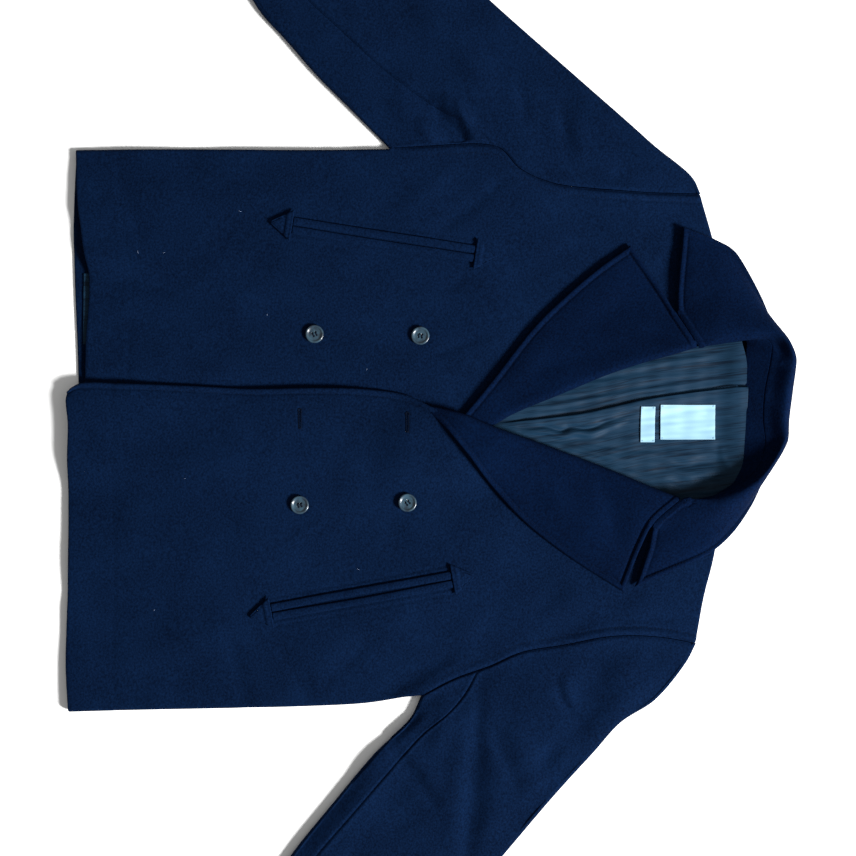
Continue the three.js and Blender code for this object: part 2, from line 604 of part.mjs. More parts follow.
// Frame of a pocket: along its slit and square to it
function pocketFrame(pocket) {
  const from = new THREE.Vector3(...pocket.from, 0);
  const along = new THREE.Vector3(...pocket.to, 0).sub(from);
  const length = along.length();
  along.normalize();
  const across = new THREE.Vector3(-along.y, along.x, 0);
  return { length, at: (a, b) => from.clone().addScaledVector(along, a).addScaledVector(across, b) };
}

// One jet of a pocket, from the points of the front under it
function makeJet(pocket, sideways) {
  const frame = pocketFrame(pocket);
  return sheet(evenly(0, 1, 9), [0, 0.5, 1], (u, v) => {
    const point = frame.at(v * frame.length, sideways * (0.4 + u * JET_WIDTH));
    const crown = u === 0.5 ? 0.5 : 0;
    return point.setZ(frontTop(pocket.name, point.x, point.y) + GAP + JET_HEIGHT + crown);
  });
}

// Arrowhead patch at one end of a pocket
function makeArrow(pocket, end) {
  const frame = pocketFrame(pocket);
  const base = end === 0 ? -0.8 : frame.length + 0.8;
  const outward = end === 0 ? -1 : 1;
  return sheet(evenly(0, 1, 3), [-1, -0.5, 0, 0.5, 1], (u, v) => {
    const halfWidth = (ARROW_WIDTH / 2) * (1 - v) + 1.5 * v;
    const point = frame.at(base + outward * ARROW_LENGTH * v, u * halfWidth);
    return point.setZ(frontTop(pocket.name, point.x, point.y) + GAP + JET_HEIGHT);
  });
}

const wasm = await Module();
wasm.setup();

function toSolid(geometry) {
  const bare = geometry.clone();
  bare.deleteAttribute('normal');
  bare.deleteAttribute('uv');
  const merged = mergeVertices(bare, 1e-4);
  return new wasm.Manifold(new wasm.Mesh({
    numProp: 3,
    vertProperties: new Float32Array(merged.attributes.position.array),
    triVerts: new Uint32Array(merged.index.array),
  }));
}

function toGeometry(solid) {
  const { vertProperties, triVerts } = solid.getMesh();
  return facingOut([...vertProperties], [...triVerts]);
}

// Four-hole button: a dished disc with a raised rim
function buttonGeometry() {
  const radius = BUTTON_DIAMETER / 2;
  const half = BUTTON_HEIGHT / 2;
  const section = [[0, -half], [radius - 2, -half], [radius, -0.3], [radius, 0.7],
    [radius - 0.8, half], [radius - 1.9, half], [radius - 3.1, 0.5], [0, 0.3]];
  const disc = new THREE.LatheGeometry(section.map(([x, y]) => new THREE.Vector2(x, y)), 18);
  disc.rotateX(Math.PI / 2);
  let solid = toSolid(disc);
  const holeRadius = 1.0;
  const holeSpacing = 1.7;
  for (const [sx, sy] of [[-1, -1], [1, -1], [1, 1], [-1, 1]]) {
    const hole = new THREE.CylinderGeometry(holeRadius, holeRadius, 3 * BUTTON_HEIGHT, 6);
    hole.rotateX(Math.PI / 2);
    hole.translate(sx * holeSpacing, sy * holeSpacing, 0);
    solid = solid.subtract(toSolid(hole));
  }
  return toGeometry(solid);
}

// Highest point of a front under a button
function buttonSeat(side, x, y) {
  const reach = BUTTON_DIAMETER * SEAT_REACH;
  const at = (turn) => frontTop(side, x + reach * Math.cos(turn), y + reach * Math.sin(turn));
  return Math.max(...evenly(0, 2 * Math.PI, 8).map(at));
}

function addWool(name, face, thickness, facing, from, to) {
  addPiece(name, wallGeometry(face, thickness, facing, from, to), NAVY, 0.95);
}

addWool('back', makeBack(), WOOL, -1);
addWool('right_front', makeFront('right'), WOOL, 1);
addWool('left_front', makeFront('left'), WOOL, -1);
addWool('right_lapel', makeLapel('right'), DOUBLE_WOOL, -1);
addWool('left_lapel', makeLapel('left'), DOUBLE_WOOL, 1);
const collar = makeCollar();
addWool('collar_stand', collar, DOUBLE_WOOL, -1, 0, STAND_SHARES.length);
addWool('collar_leaf', collar, DOUBLE_WOOL, -1, STAND_SHARES.length);
for (const side of ['right', 'left']) {
  const facing = side === 'right' ? -1 : 1;
  const sleeve = makeSleeve(side);
  addWool(`${side}_top_sleeve`, sleeve, SLEEVE_CLOTH, facing, 0, TOP_RING.length);
  addWool(`${side}_under_sleeve`, sleeve, SLEEVE_CLOTH, facing, TOP_RING.length);
}
addPiece('neck_lining', wallGeometry(makeNeckLining(), LINING, 1), SLATE, 0.5);
addPiece('hem_lining', wallGeometry(makeHemLining(), LINING, 1), SLATE, 0.5);
const LABELS = {
  large_label: [[-21, 653], [17, 653], [17, 713], [-21, 713]],
  small_label: [[-19, 631.5], [20, 631], [20, 646.5], [-19, 647]],
};
for (const [name, corners] of Object.entries(LABELS)) {
  addPiece(name, wallGeometry(makeLabel(corners), LABEL, 1), LABEL_BLUE, 0.6);
}
for (const pocket of POCKETS) {
  addWool(`${pocket.name}_jet_inner`, makeJet(pocket, -1), JET_HEIGHT, 1);
  addWool(`${pocket.name}_jet_outer`, makeJet(pocket, 1), JET_HEIGHT, 1);
  addWool(`${pocket.name}_arrow_lower`, makeArrow(pocket, 0), JET_HEIGHT, 1);
  addWool(`${pocket.name}_arrow_upper`, makeArrow(pocket, 1), JET_HEIGHT, 1);
}
for (const { node, x, y, side } of BUTTONS) {
  const button = addPiece(node, buttonGeometry(), HORN, 0.35);
  button.position.set(x, y, buttonSeat(side, x, y) + GAP + BUTTON_HEIGHT / 2);
}

// The origin is the middle of the whole coat's box, on the surface that it lies on
const box = new THREE.Box3().setFromObject(coat);
const middle = box.getCenter(new THREE.Vector3());
coat.position.set(-middle.x, -middle.y, -box.min.z);

export default coat;
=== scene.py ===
"""Looks of a pea coat in melton wool, laid open on its back and seen from straight above.

Lengths inside are millimetres in the coat's own plan: +X is the wearer's left, +Y runs from the hem
to the collar, +Z is up. Points are turned to metres in the frame's place as meshes are made.
"""

import math

import bpy
import numpy as np
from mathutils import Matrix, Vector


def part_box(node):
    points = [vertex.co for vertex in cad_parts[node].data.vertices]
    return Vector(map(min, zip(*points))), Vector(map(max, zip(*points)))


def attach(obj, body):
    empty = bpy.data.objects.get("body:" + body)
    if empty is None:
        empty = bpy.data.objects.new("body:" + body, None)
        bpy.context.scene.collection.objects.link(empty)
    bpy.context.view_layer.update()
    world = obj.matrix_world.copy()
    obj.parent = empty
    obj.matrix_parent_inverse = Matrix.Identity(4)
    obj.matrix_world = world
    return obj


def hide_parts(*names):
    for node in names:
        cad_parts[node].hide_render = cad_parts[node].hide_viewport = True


bl_info = {
    "name": "Pea coat",
    "version": (1, 0, 0),
    "blender": (4, 2, 0),
    "location": "3D View > Sidebar > Pea coat",
    "description": "Builds the cloth, sewing, buttons and stage of a pea coat laid flat",
    "category": "Object",
}

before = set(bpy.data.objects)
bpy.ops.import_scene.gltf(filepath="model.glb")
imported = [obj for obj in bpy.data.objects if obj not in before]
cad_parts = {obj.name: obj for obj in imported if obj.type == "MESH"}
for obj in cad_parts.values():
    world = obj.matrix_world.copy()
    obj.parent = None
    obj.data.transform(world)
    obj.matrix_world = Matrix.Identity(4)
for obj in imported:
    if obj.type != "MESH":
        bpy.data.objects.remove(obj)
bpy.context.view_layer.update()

MM = 0.001

# Plan points of the edges, hem to shoulder, in mm
RIGHT_SIDE = [(-302, 9), (-303, 130), (-302, 250), (-303, 354)]
RIGHT_ARMHOLE = [(-303, 354), (-306, 400), (-308, 456), (-303, 477), (-281, 498), (-265, 535),
                 (-259, 578), (-255, 630), (-253, 697)]
LEFT_SIDE = [(317, 1), (315, 88), (313, 183), (308, 325), (301, 372), (299, 389)]
LEFT_ARMHOLE = [(299, 389), (280, 426), (266, 465), (251, 500), (243, 546), (233, 600), (234, 651),
                (241, 692)]
RIGHT_SHOULDER = [(-253, 697), (-204, 711), (-150, 724), (-102, 734)]
LEFT_SHOULDER = [(241, 692), (192, 701), (142, 713), (84, 720)]
RIGHT_HEM = [(-302, 9), (-251, 11), (-195, 18), (-158, 24), (-89, 20), (-40, 19), (29, 19)]
LEFT_HEM = [(317, 1), (262, -2), (190, 0), (119, 1), (40, 1), (-1, 2), (-30, 0), (-39, 4)]
BACK_HEM = [(-302, 9), (-228, 6), (-161, 7), (-50, 11), (120, 10), (270, 7), (317, 1)]
BACK_NECK = [(-102, 734), (-94, 748), (-20, 752), (42, 749), (72, 737), (84, 720)]
LEFT_FRONT_EDGE = [(-39, 4), (-45, 16), (-44.7, 64), (-42, 140), (-39, 202), (-40, 269),
                   (-38.6, 328), (-32, 373), (-22, 395)]
RIGHT_FRONT_EDGE = [(29, 19), (29, 200), (29, 403)]
RIGHT_ROLL = [(27, 404), (2, 468), (-11, 491), (-33, 544), (-55, 597), (-68, 637), (-76, 666),
              (-84, 692)]
LEFT_ROLL = [(-20, 398), (-12, 434), (1, 465), (23, 526), (50, 597), (70, 645), (81, 674)]
RIGHT_LAPEL_EDGE = [(24, 405), (-12, 437), (-51, 469), (-107, 513), (-145, 552), (-174, 587),
                    (-197, 620)]
LEFT_LAPEL_EDGE = [(-17, 396), (5, 416), (34, 440), (67, 465), (108, 503), (145, 550), (185, 612)]
RIGHT_LAPEL_TOP = [(-84, 692), (-122, 669), (-152, 651), (-197, 620)]
LEFT_LAPEL_TOP = [(81, 674), (108, 645), (134, 632), (185, 612)]
RIGHT_NECK = [(-92, 689), (-100, 700), (-104, 718), (-102, 734)]
LEFT_NECK = [(92, 667), (99, 684), (94, 706), (84, 720)]
RIGHT_SLEEVE_OUTER = [(-253, 697), (-271, 688), (-306, 646), (-331, 618), (-396, 544), (-466, 465),
                      (-563, 362), (-663, 260)]
RIGHT_SLEEVE_INNER = [(-303, 354), (-350, 307), (-383, 274), (-422, 240), (-453, 212), (-500, 184),
                      (-551, 153)]
LEFT_SLEEVE_OUTER = [(241, 692), (262, 681), (303, 647), (328, 609), (361, 579), (407, 537),
                     (475, 479), (580, 389), (688, 297)]
LEFT_SLEEVE_INNER = [(299, 389), (325, 376), (362, 338), (418, 291), (475, 245), (530, 210),
                     (587, 179)]

# Heights and layers, in mm
BODY_HEIGHT = 8.0
SIDE_ROUND = 3.85
ROLL_ROUND = 7.3
ROLL_INSET = 8.1
LAPEL_CLEAR = 0.7
HEAD_GAP = 0.8
SEAM_HALF_GAP = 0.15
SIDE_SHARE = 0.5
OVERLAP_EDGE = 29
STAND_SHARE = 0.18
# Place of the sleeve's back seam across it: at the armhole and what the rest of the length adds
SLEEVE_SEAMS = {"right": (0.69, 0.10), "left": (0.785, 0.12)}
FLOOR_SEAM = 0.14
HOLLOW_FLOOR = 5.8
BEND_REACH = 60.0
BULGE = 14.0
BULGE_WAY = np.array([-0.69, 0.72])

# How far the fronts rise towards the lapel's fold: Y and height
RIGHT_LIFT = [(404, 0), (470, 1), (560, 7), (680, 13), (735, 1)]
LEFT_LIFT = [(404, 0), (470, 1), (560, 5), (680, 12), (722, 1)]
LIFT_REACH = 72

# Creases, in mm: half width, height, then the points that the crease runs through.
# A height under 0 is a trough. Each one swells to its middle and dies away at its ends, so a crease
# that comes out of a seam or an edge starts outside the piece.
RIGHT_FRONT_FOLDS = [
    (9, -1.7, (-208, 404), (-238, 444), (-274, 488)),
    (13, 1.5, (-226, 360), (-262, 402), (-296, 436)),
    (11, -2.6, (-176, -40), (-160, 50), (-146, 120), (-126, 190)),
    (17, 3.4, (-200, -60), (-186, 30), (-170, 130)),
    (15, 2.4, (-244, -50), (-234, 20), (-222, 86)),
    (8, -1.0, (-276, 56), (-232, 72), (-186, 86)),
    (7, -1.0, (-70, 390), (-86, 430), (-102, 480)),
    (6, -0.9, (-170, 380), (-148, 416), (-168, 446)),
    (17, 1.9, (-312, 452), (-262, 508), (-214, 560)),
    (20, 1.9, (-282, 578), (-238, 626), (-190, 664)),
    (12, -1.5, (-262, 500), (-232, 556), (-202, 606)),
    (28, 1.3, (-166, 176), (-138, 260), (-106, 350)),
    (32, 1.3, (-46, 70), (-62, 190), (-76, 310)),
    (15, -1.2, (-306, 160), (-266, 206), (-230, 244)),
    (11, -1.3, (-312, 298), (-278, 334), (-246, 368)),
    (20, -1.2, (-120, 60), (-104, 150), (-96, 240)),
    (22, 1.2, (-266, 90), (-250, 150), (-246, 220)),
    (16, -1.1, (-140, 470), (-176, 520), (-200, 574)),
]
LEFT_FRONT_FOLDS = [
    (11, -2.4, (312, 320), (286, 372), (262, 410), (232, 450)),
    (17, 2.1, (308, 376), (256, 420), (190, 468)),
    (16, -2.2, (244, 512), (214, 576), (178, 636)),
    (20, 1.8, (258, 616), (216, 582), (172, 540)),
    (11, -1.1, (212, 510), (186, 540), (160, 566)),
    (8, -1.2, (219, 584), (215, 630), (213, 690)),
    (10, -1.6, (228, 176), (280, 190), (332, 200)),
    (10, -1.3, (242, 232), (282, 256), (322, 280)),
    (5, 0.8, (130, 244), (116, 266), (102, 288)),
    (30, 1.4, (108, -10), (132, 110), (160, 230)),
    (25, -1.2, (34, 30), (18, 120), (2, 220)),
    (23, 1.4, (52, 110), (80, 190), (106, 270)),
    (20, 1.6, (272, 0), (256, 80), (244, 156)),
    (13, -1.3, (184, -30), (196, 40), (206, 100)),
    (19, -1.3, (50, 266), (38, 330), (24, 402)),
    (11, -1.4, (292, 278), (256, 314), (224, 348)),
    (24, -1.2, (168, 300), (150, 380), (146, 450)),
    (18, 1.1, (110, 420), (140, 470), (180, 510)),
]
BACK_FOLDS = [
    (14, 1.4, (-216, -50), (-206, 30), (-190, 110)),
]
RIGHT_SLEEVE_FOLDS = [
    (9, -2.8, (-372, 370), (-350, 394), (-326, 414)),
    (7, 2.6, (-364, 400), (-346, 420), (-330, 446)),
    (11, 2.4, (-356, 352), (-328, 380), (-300, 410)),
    (7, -2.1, (-358, 542), (-325, 546), (-284, 553)),
    (10, 1.3, (-352, 560), (-322, 564), (-290, 570)),
    (8, -1.8, (-384, 490), (-354, 502), (-326, 500)),
    (8, -1.5, (-274, 596), (-262, 620), (-250, 646)),
    (13, 2.1, (-446, 384), (-406, 432), (-366, 476)),
    (12, -1.7, (-430, 432), (-400, 470), (-368, 506)),
    (12, -2.0, (-424, 290), (-402, 332), (-382, 380)),
    (17, 2.0, (-392, 552), (-350, 575), (-308, 610)),
    (20, 2.4, (-480, 350), (-545, 290), (-620, 220)),
    (14, -1.9, (-448, 318), (-495, 265), (-548, 210)),
    (16, 1.8, (-420, 350), (-460, 300), (-510, 250)),
    (13, -1.5, (-330, 580), (-300, 610), (-280, 650)),
]
# The right sleeve's deep pinch by its underarm, which runs right up to the armhole
UNDERARM_FOLDS = [
    (9, -6.8, (-352, 404), (-334, 413), (-318, 426), (-302, 444)),
    (7, 5.8, (-358, 428), (-340, 434), (-320, 445), (-301, 464), (-284, 492)),
    (5, 2.8, (-318, 436), (-309, 442), (-300, 452)),
    (8, 3.4, (-362, 412), (-346, 426), (-330, 446)),
    (9, 3.2, (-336, 384), (-316, 398), (-298, 406)),
    (4, -3.0, (-306, 446), (-297, 468), (-280, 490)),
]
LEFT_SLEEVE_FOLDS = [
    (10, -2.7, (262, 455), (322, 452), (387, 446), (446, 441), (520, 436)),
    (15, 2.3, (314, 436), (387, 429), (474, 420)),
    (14, 2.0, (300, 462), (375, 468), (450, 460)),
    (8, -2.4, (322, 462), (366, 480), (412, 500)),
    (13, 2.2, (328, 488), (368, 506), (404, 520)),
    (5, -2.6, (272, 536), (298, 542), (311, 549), (336, 574)),
    (6, 1.9, (276, 548), (300, 552), (316, 560)),
    (8, -2.4, (352, 350), (384, 378), (424, 410)),
    (10, 1.7, (346, 366), (387, 399), (420, 424)),
    (14, 1.8, (396, 476), (430, 468), (480, 452)),
    (14, -1.6, (240, 570), (268, 586), (300, 604)),
    (18, 1.8, (286, 608), (322, 590), (360, 570)),
    (7, -2.6, (314, 390), (330, 374), (352, 354)),
    (12, 1.9, (290, 416), (330, 414), (372, 404)),
    (10, -1.8, (352, 542), (368, 528), (384, 520)),
    (20, 2.2, (490, 366), (560, 312), (640, 250)),
    (14, -2.0, (424, 350), (470, 318), (520, 286)),
    (15, 1.9, (388, 340), (440, 300), (500, 250)),
    (9, -1.6, (470, 420), (500, 400), (540, 372)),
]
LEFT_LAPEL_FOLDS = [
    (14, -2.3, (48, 582), (98, 598), (150, 614)),
    (12, -1.3, (62, 492), (78, 512), (92, 532)),
    (17, 1.5, (84, 532), (114, 562), (144, 592)),
    (11, 1.1, (16, 440), (38, 476), (60, 514)),
    (13, -1.2, (60, 540), (84, 560), (100, 584)),
]
RIGHT_LAPEL_FOLDS = [
    (10, -2.1, (-104, 628), (-96, 652), (-88, 680)),
    (13, -1.6, (-56, 506), (-74, 566), (-88, 626)),
    (16, 1.6, (-104, 542), (-134, 582), (-160, 616)),
    (11, -1.3, (-144, 648), (-160, 628), (-176, 606)),
    (12, 1.1, (-40, 486), (-70, 512), (-104, 536)),
]
COLLAR_FOLDS = [
    (5, -1.9, (-92, 772), (-78, 783), (-66, 796)),
    (5, -1.8, (-66, 782), (-61, 792), (-58, 806)),
    (17, -1.7, (-162, 688), (-135, 713), (-108, 738)),
    (13, -1.9, (86, 750), (106, 720), (124, 690)),
    (10, -1.4, (104, 676), (118, 654), (132, 630)),
    (8, -1.5, (-36, 770), (-20, 785), (-6, 802)),
    (6, -1.4, (12, 762), (21, 779), (30, 796)),
    (14, 1.4, (-190, 680), (-164, 694), (-140, 700)),
    (12, 1.4, (112, 736), (136, 706), (150, 670)),
]

# The collar from the right front end to the left one: neck seam in space, fold and leaf edge in
# plan, the fold's height, the leaf edge's height, and how far the leaf is tucked under itself
COLLAR = [
    ((-90, 699, 5.2), (-83, 693), 26, (-217, 676), 15.5, 0),
    ((-94, 716, 5.2), (-87, 715), 29, (-203, 713), 12.9, 0),
    ((-96, 738, 7.5), (-91, 742), 31, (-188, 737), 9, 0),
    ((-91, 747, 9.4), (-94, 770), 33, (-148, 763), 6, 0.1),
    ((-80, 747, 9.4), (-88, 787), 33, (-112, 784), 5, 0.4),
    ((-62, 746.5, 9.4), (-70, 799), 30, (-90, 797), 5, 0.8),
    ((-36, 746, 9.4), (-38, 797), 27, (-38, 797), 5, 1),
    ((-8, 745.5, 9.4), (-4, 793), 26, (-4, 793), 5, 1),
    ((18, 744, 9.4), (19, 789), 28, (24, 792), 5, 0.75),
    ((44, 742, 9.4), (40, 770), 31, (54, 779), 5, 0.3),
    ((64, 733, 9.4), (56, 752), 33, (88, 756), 6, 0.05),
    ((74, 719, 8.4), (69, 732), 32, (119, 733), 9, 0),
    ((85, 702, 6.4), (78, 709), 30, (147, 697), 13.8, 0),
    ((91, 686, 5.2), (83, 680), 27, (179, 624), 13.2, 0),
]
NOTCHES = {"right": (-120, 672), "left": (112, 650)}
FOLD_ROUND = 7.5
TUCK_LENGTH = 30

PLEAT = [(0, 467), (-12, 567), (-28, 640), (-41, 735)]
LINING_TOP = 3.5
LINING_LEFT = [(-6, 436), (-34, 510), (-70, 600), (-84, 680), (-91, 742)]
LINING_RIGHT = [(6, 436), (48, 540), (76, 620), (86, 676), (82, 708), (68, 733)]
LINING_NECK = [(-91, 742), (-70, 747), (-20, 748), (36, 745), (68, 733)]
LINING_FOLDS = [
    (2.8, -2.6, (3, 494), (4.6, 508), (3, 526), (7, 545), (3.5, 554), (5, 575), (-3, 595), (-13, 628)),
    (3.8, 2.6, (9, 500), (9, 526), (13, 545), (10, 560), (11.5, 576), (3.5, 598), (-4, 618)),
    (5.0, -1.7, (36, 654), (46, 680), (42, 700), (48, 728)),
    (5.0, 1.6, (30, 660), (38, 684), (33, 706), (38, 726)),
    (5.0, 1.8, (48, 660), (57, 686), (53, 708), (57, 728)),
    (4.6, -1.7, (60, 658), (67, 686), (63, 706), (66, 722)),
    (4.4, 0.9, (22, 720), (38, 722), (54, 736)),
    (3.4, 0.9, (-12, 704), (-11, 724), (-10, 746)),
    (3.2, 0.8, (2, 704), (3, 724), (3, 746)),
    (3.4, 0.8, (17, 704), (18, 722), (18, 746)),
    (3.6, 1.0, (-56, 594), (-66, 650), (-74, 712)),
    (3.2, -1.0, (-42, 548), (-52, 600), (-62, 668)),
    (3.4, -1.0, (26, 540), (44, 596), (56, 650)),
    (3.4, 1.1, (18, 520), (34, 590), (44, 644)),
    (3.0, -0.9, (-24, 540), (-38, 620), (-52, 716)),
    (3.0, 0.9, (-16, 520), (-32, 600), (-46, 690)),
    (3.0, -0.9, (20, 560), (28, 620), (32, 668)),
]

BUTTONS = [
    ("button_right_lower", -98.9, 272.5, "right", 0.35),
    ("button_right_upper", -97.1, 388.7, "right", -0.2),
    ("button_left_lower", 88.9, 256.2, "left", 0.12),
    ("button_left_upper", 86.4, 374.6, "left", 0.6),
]
BUTTON_RADIUS = 10.0
BUTTON_HEIGHT = 3.4
POCKETS = {"right": ((-218, 249), (-187, 448)), "left": ((207, 226), (171, 423))}
JET_WIDTH = 9.0
JET_HEIGHT = 1.6
ARROW_LENGTH = 24.0
ARROW_WIDTH = 35.0
# Buttonholes on the left front: eye end x, other end x, y
BUTTONHOLES = [(-17.0, 4.0, 256.5), (-13.0, 8.0, 374.5)]

# Where the coat's plan lies in the frame
_low, _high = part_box("button_right_lower")
PLAN_SHIFT = np.array([(_low.x + _high.x) / 2 + 98.9 * MM, (_low.y + _high.y) / 2 - 272.5 * MM, 0.0])


# Helpers for plan and height

def smoothstep(t):
    """Soft step from 0 to 1."""
    t = np.clip(t, 0.0, 1.0)
    return t * t * (3 - 2 * t)


def smooth_path(points, per_part=40):
    """Smooth path through a few points, read by its share of the length."""
    points = np.asarray(points, float)
    padded = np.vstack([2 * points[0] - points[1], points, 2 * points[-1] - points[-2]])
    parts = []
    t = np.linspace(0, 1, per_part, endpoint=False)[:, None]
    for k in range(len(points) - 1):
        parts.append(centripetal(padded[k:k + 4], t))
    line = np.vstack(parts + [points[-1:]])
    steps = np.linalg.norm(np.diff(line, axis=0), axis=1)
    length = np.concatenate([[0], np.cumsum(steps)])

    def read(share):
        at = np.clip(share, 0, 1) * length[-1]
        return np.stack([np.interp(at, length, line[:, axis]) for axis in range(line.shape[1])], -1)
    return read


def centripetal(four, t):
    """Points at t of the smooth span between the second and third of four points."""
    p0, p1, p2, p3 = four
    d0, d1, d2 = (max(float(np.linalg.norm(b - a)), 1e-6) ** 0.5
                  for a, b in ((p0, p1), (p1, p2), (p2, p3)))
    start = ((p1 - p0) / d0 - (p2 - p0) / (d0 + d1) + (p2 - p1) / d1) * d1
    end = ((p2 - p1) / d1 - (p3 - p1) / (d1 + d2) + (p3 - p2) / d2) * d1
    return hermite(p1, p2, start, end, t)


def hermite(p1, p2, start, end, t):
    """Cubic span from p1 to p2 with the given slopes at its ends."""
    return p1 + start * t + (3 * (p2 - p1) - 2 * start - end) * t ** 2 + (2 * (p1 - p2) + start + end) * t ** 3


def in_turn(first, second, share):
    """Two paths in a row, the first one taking the given share."""
    def read(t):
        t = np.asarray(t, float)
        return np.where((t <= share)[..., None], first(t / share), second((t - share) / (1 - share)))
    return read


def patch(left, right, bottom, top):
    """Plan surface stretched between four edge paths, read at arrays u and v."""
    zero, one = np.float64(0), np.float64(1)

    def read(u, v):
        wide, tall = u[..., None], v[..., None]
        point = left(v) * (1 - wide) + right(v) * wide + bottom(u) * (1 - tall) + top(u) * tall
        point = point - left(zero) * (1 - wide) * (1 - tall) - right(zero) * wide * (1 - tall)
        return point - left(one) * (1 - wide) * tall - right(one) * wide * tall
    return read


def edge_drop(distance, radius):
    """Drop of a rounded edge at a distance from it."""
    across = np.clip(1 - distance / radius, 0, 1)
    return radius * (1 - np.sqrt(1 - across ** 2))


def segment_distance(x, y, x0, y0, x1, y1):
    """Plan distance to a segment, with the share along it and the overshoot past its ends."""
    dx, dy = x1 - x0, y1 - y0
    raw = ((x - x0) * dx + (y - y0) * dy) / (dx * dx + dy * dy)
    along = np.clip(raw, 0, 1)
    return np.hypot(x - x0 - along * dx, y - y0 - along * dy), along


def plan_distance(path, x, y):
    """Plan distance to the nearest place of a path of points."""
    nearest = np.full(np.shape(x), np.inf)
    for (x0, y0), (x1, y1) in zip(path[:-1], path[1:]):
        nearest = np.minimum(nearest, segment_distance(x, y, x0, y0, x1, y1)[0])
    return nearest


def fold_height(folds, x, y):
    """Height of all the creases of a table at plan points."""
    height = np.zeros(np.shape(x))
    for width, swell, *points in folds:
        line = smooth_path(points)(np.linspace(0, 1, 5 * len(points) - 4))
        nearest = np.full(np.shape(x), np.inf)
        share, side = np.zeros(np.shape(x)), np.zeros(np.shape(x))
        for k, ((x0, y0), (x1, y1)) in enumerate(zip(line[:-1], line[1:])):
            distance, along = segment_distance(x, y, x0, y0, x1, y1)
            closer = distance < nearest
            nearest = np.where(closer, distance, nearest)
            share = np.where(closer, (k + along) / (len(line) - 1), share)
            side = np.where(closer, (x - x0) * (y1 - y0) - (y - y0) * (x1 - x0), side)
        # A crease is widest in its middle, and steeper on one side, as folded wool is
        middle = np.sin(math.pi * share)
        reach = width * (0.6 + 0.4 * middle) * np.where(side > 0, 0.85, 1.15)
        height += swell * middle ** 0.8 * np.exp(-(nearest / reach) ** 2)
    return height


def profile(rows, y):
    """Value along Y, read softly from rows of (y, value)."""
    value = np.full(np.shape(y), float(rows[0][1]))
    for (y0, v0), (y1, v1) in zip(rows[:-1], rows[1:]):
        value = value + (v1 - v0) * smoothstep((y - y0) / (y1 - y0))
    return value


def waves(x, y, seed, size, height, count=7):
    """Low uneven swell of cloth that lies loose: a few long sines with seeded directions."""
    rng = np.random.default_rng(seed)
    total = np.zeros(np.shape(x))
    for _ in range(count):
        turn, phase = rng.uniform(0, math.pi), rng.uniform(0, 2 * math.pi)
        length = size * rng.uniform(0.6, 1.6)
        total += np.sin((x * math.cos(turn) + y * math.sin(turn)) * 2 * math.pi / length + phase)
    return total * height / math.sqrt(count)


def overlap_lift(x, y):
    """The left front climbs over the hidden edge of the right one and over its lapel's lower end."""
    over_front = 5.4 * (1 - smoothstep((x - OVERLAP_EDGE - 4) / 44))
    from_lapel = segment_distance(x, y, 27, 404, -4, 455)[0]
    over_lapel = 5.7 * (1 - smoothstep((from_lapel - 22) / 56))
    return over_front * (1 - smoothstep((y - 500) / 70)) + over_lapel


def front_top(side, x, y):
    """Height of a front's face before its edges, seams and stitching."""
    x, y = np.asarray(x, float), np.asarray(y, float)
    lift, roll = (RIGHT_LIFT, RIGHT_ROLL) if side == "right" else (LEFT_LIFT, LEFT_ROLL)
    near = 1 - smoothstep(plan_distance(roll, x, y) / LIFT_REACH)
    height = BODY_HEIGHT + profile(lift, y) * near
    seed = 11 if side == "right" else 12
    height = height + waves(x, y, seed, 150, 1.3) + waves(x, y, seed + 40, 52, 0.3)
    if side == "right":
        # It sinks under the weight of the left front that laps over it
        edge = np.array(LEFT_FRONT_EDGE, float)
        sink = smoothstep((x - np.interp(y, edge[:, 1], edge[:, 0]) + 16) / 13) * (1 - smoothstep((y - 385) / 30))
        return height - 1.7 * sink + fold_height(RIGHT_FRONT_FOLDS, x, y)
    return height + overlap_lift(x, y) + fold_height(LEFT_FRONT_FOLDS, x, y)


# Helpers for grids of surface points

# Distances from an edge at which a grid has lines, in mm: a stitched edge, a seam, a roll, a cut
STITCH_IN = 7.0
STEPS = {
    "edge": [0, 0.15, 0.45, 0.9, 1.5, 2.3, 3.3, 4.4, 5.4, 6.2, STITCH_IN, 7.8, 8.8, 10.4, 12.4],
    "seam": [0, 0.12, 0.45, 1.0, 1.7, 2.6, 3.6, 4.8, 6.4, 8.2],
    "roll": [0, 0.1, 0.4, 0.9, 1.6, 2.5, 3.5, 4.6, 5.9, 7.3, 9.0],
    "cut": [0, 0.3, 0.9],
}
STITCH_LINE = STEPS["edge"].index(STITCH_IN)


def spaced(width, step, first, last):
    """Distances across sides of the given widths, closer together by their ends; an odd count."""
    width = np.atleast_1d(np.asarray(width, float))
    near, far = np.array(STEPS[first]), np.array(STEPS[last])
    count = max(int((width.max() - near[-1] - far[-1]) / step), 3)
    count += (len(near) + len(far) + count) % 2
    fit = np.minimum(1, 0.85 * width / (near[-1] + far[-1]))[:, None]
    share = np.linspace(0, 1, count + 1)[None, 1:-1]
    low, high = near[-1] * fit, width[:, None] - far[-1] * fit
    return np.hstack([near * fit, low + share * (high - low), width[:, None] - far[::-1] * fit])


def grid_normals(points, facing):
    """Unit normals of a grid of points; facing is 1 or -1."""
    slopes = []
    for axis in (1, 0):
        step = np.linalg.norm(np.diff(points, axis=axis), axis=-1).mean(axis=1 - axis)
        place = np.concatenate([[0], np.cumsum(np.maximum(step, 1e-5))])
        slopes.append(np.gradient(points, place, axis=axis))
    normal = np.cross(slopes[0], slopes[1])
    return facing * normal / np.maximum(np.linalg.norm(normal, axis=-1, keepdims=True), 1e-9)


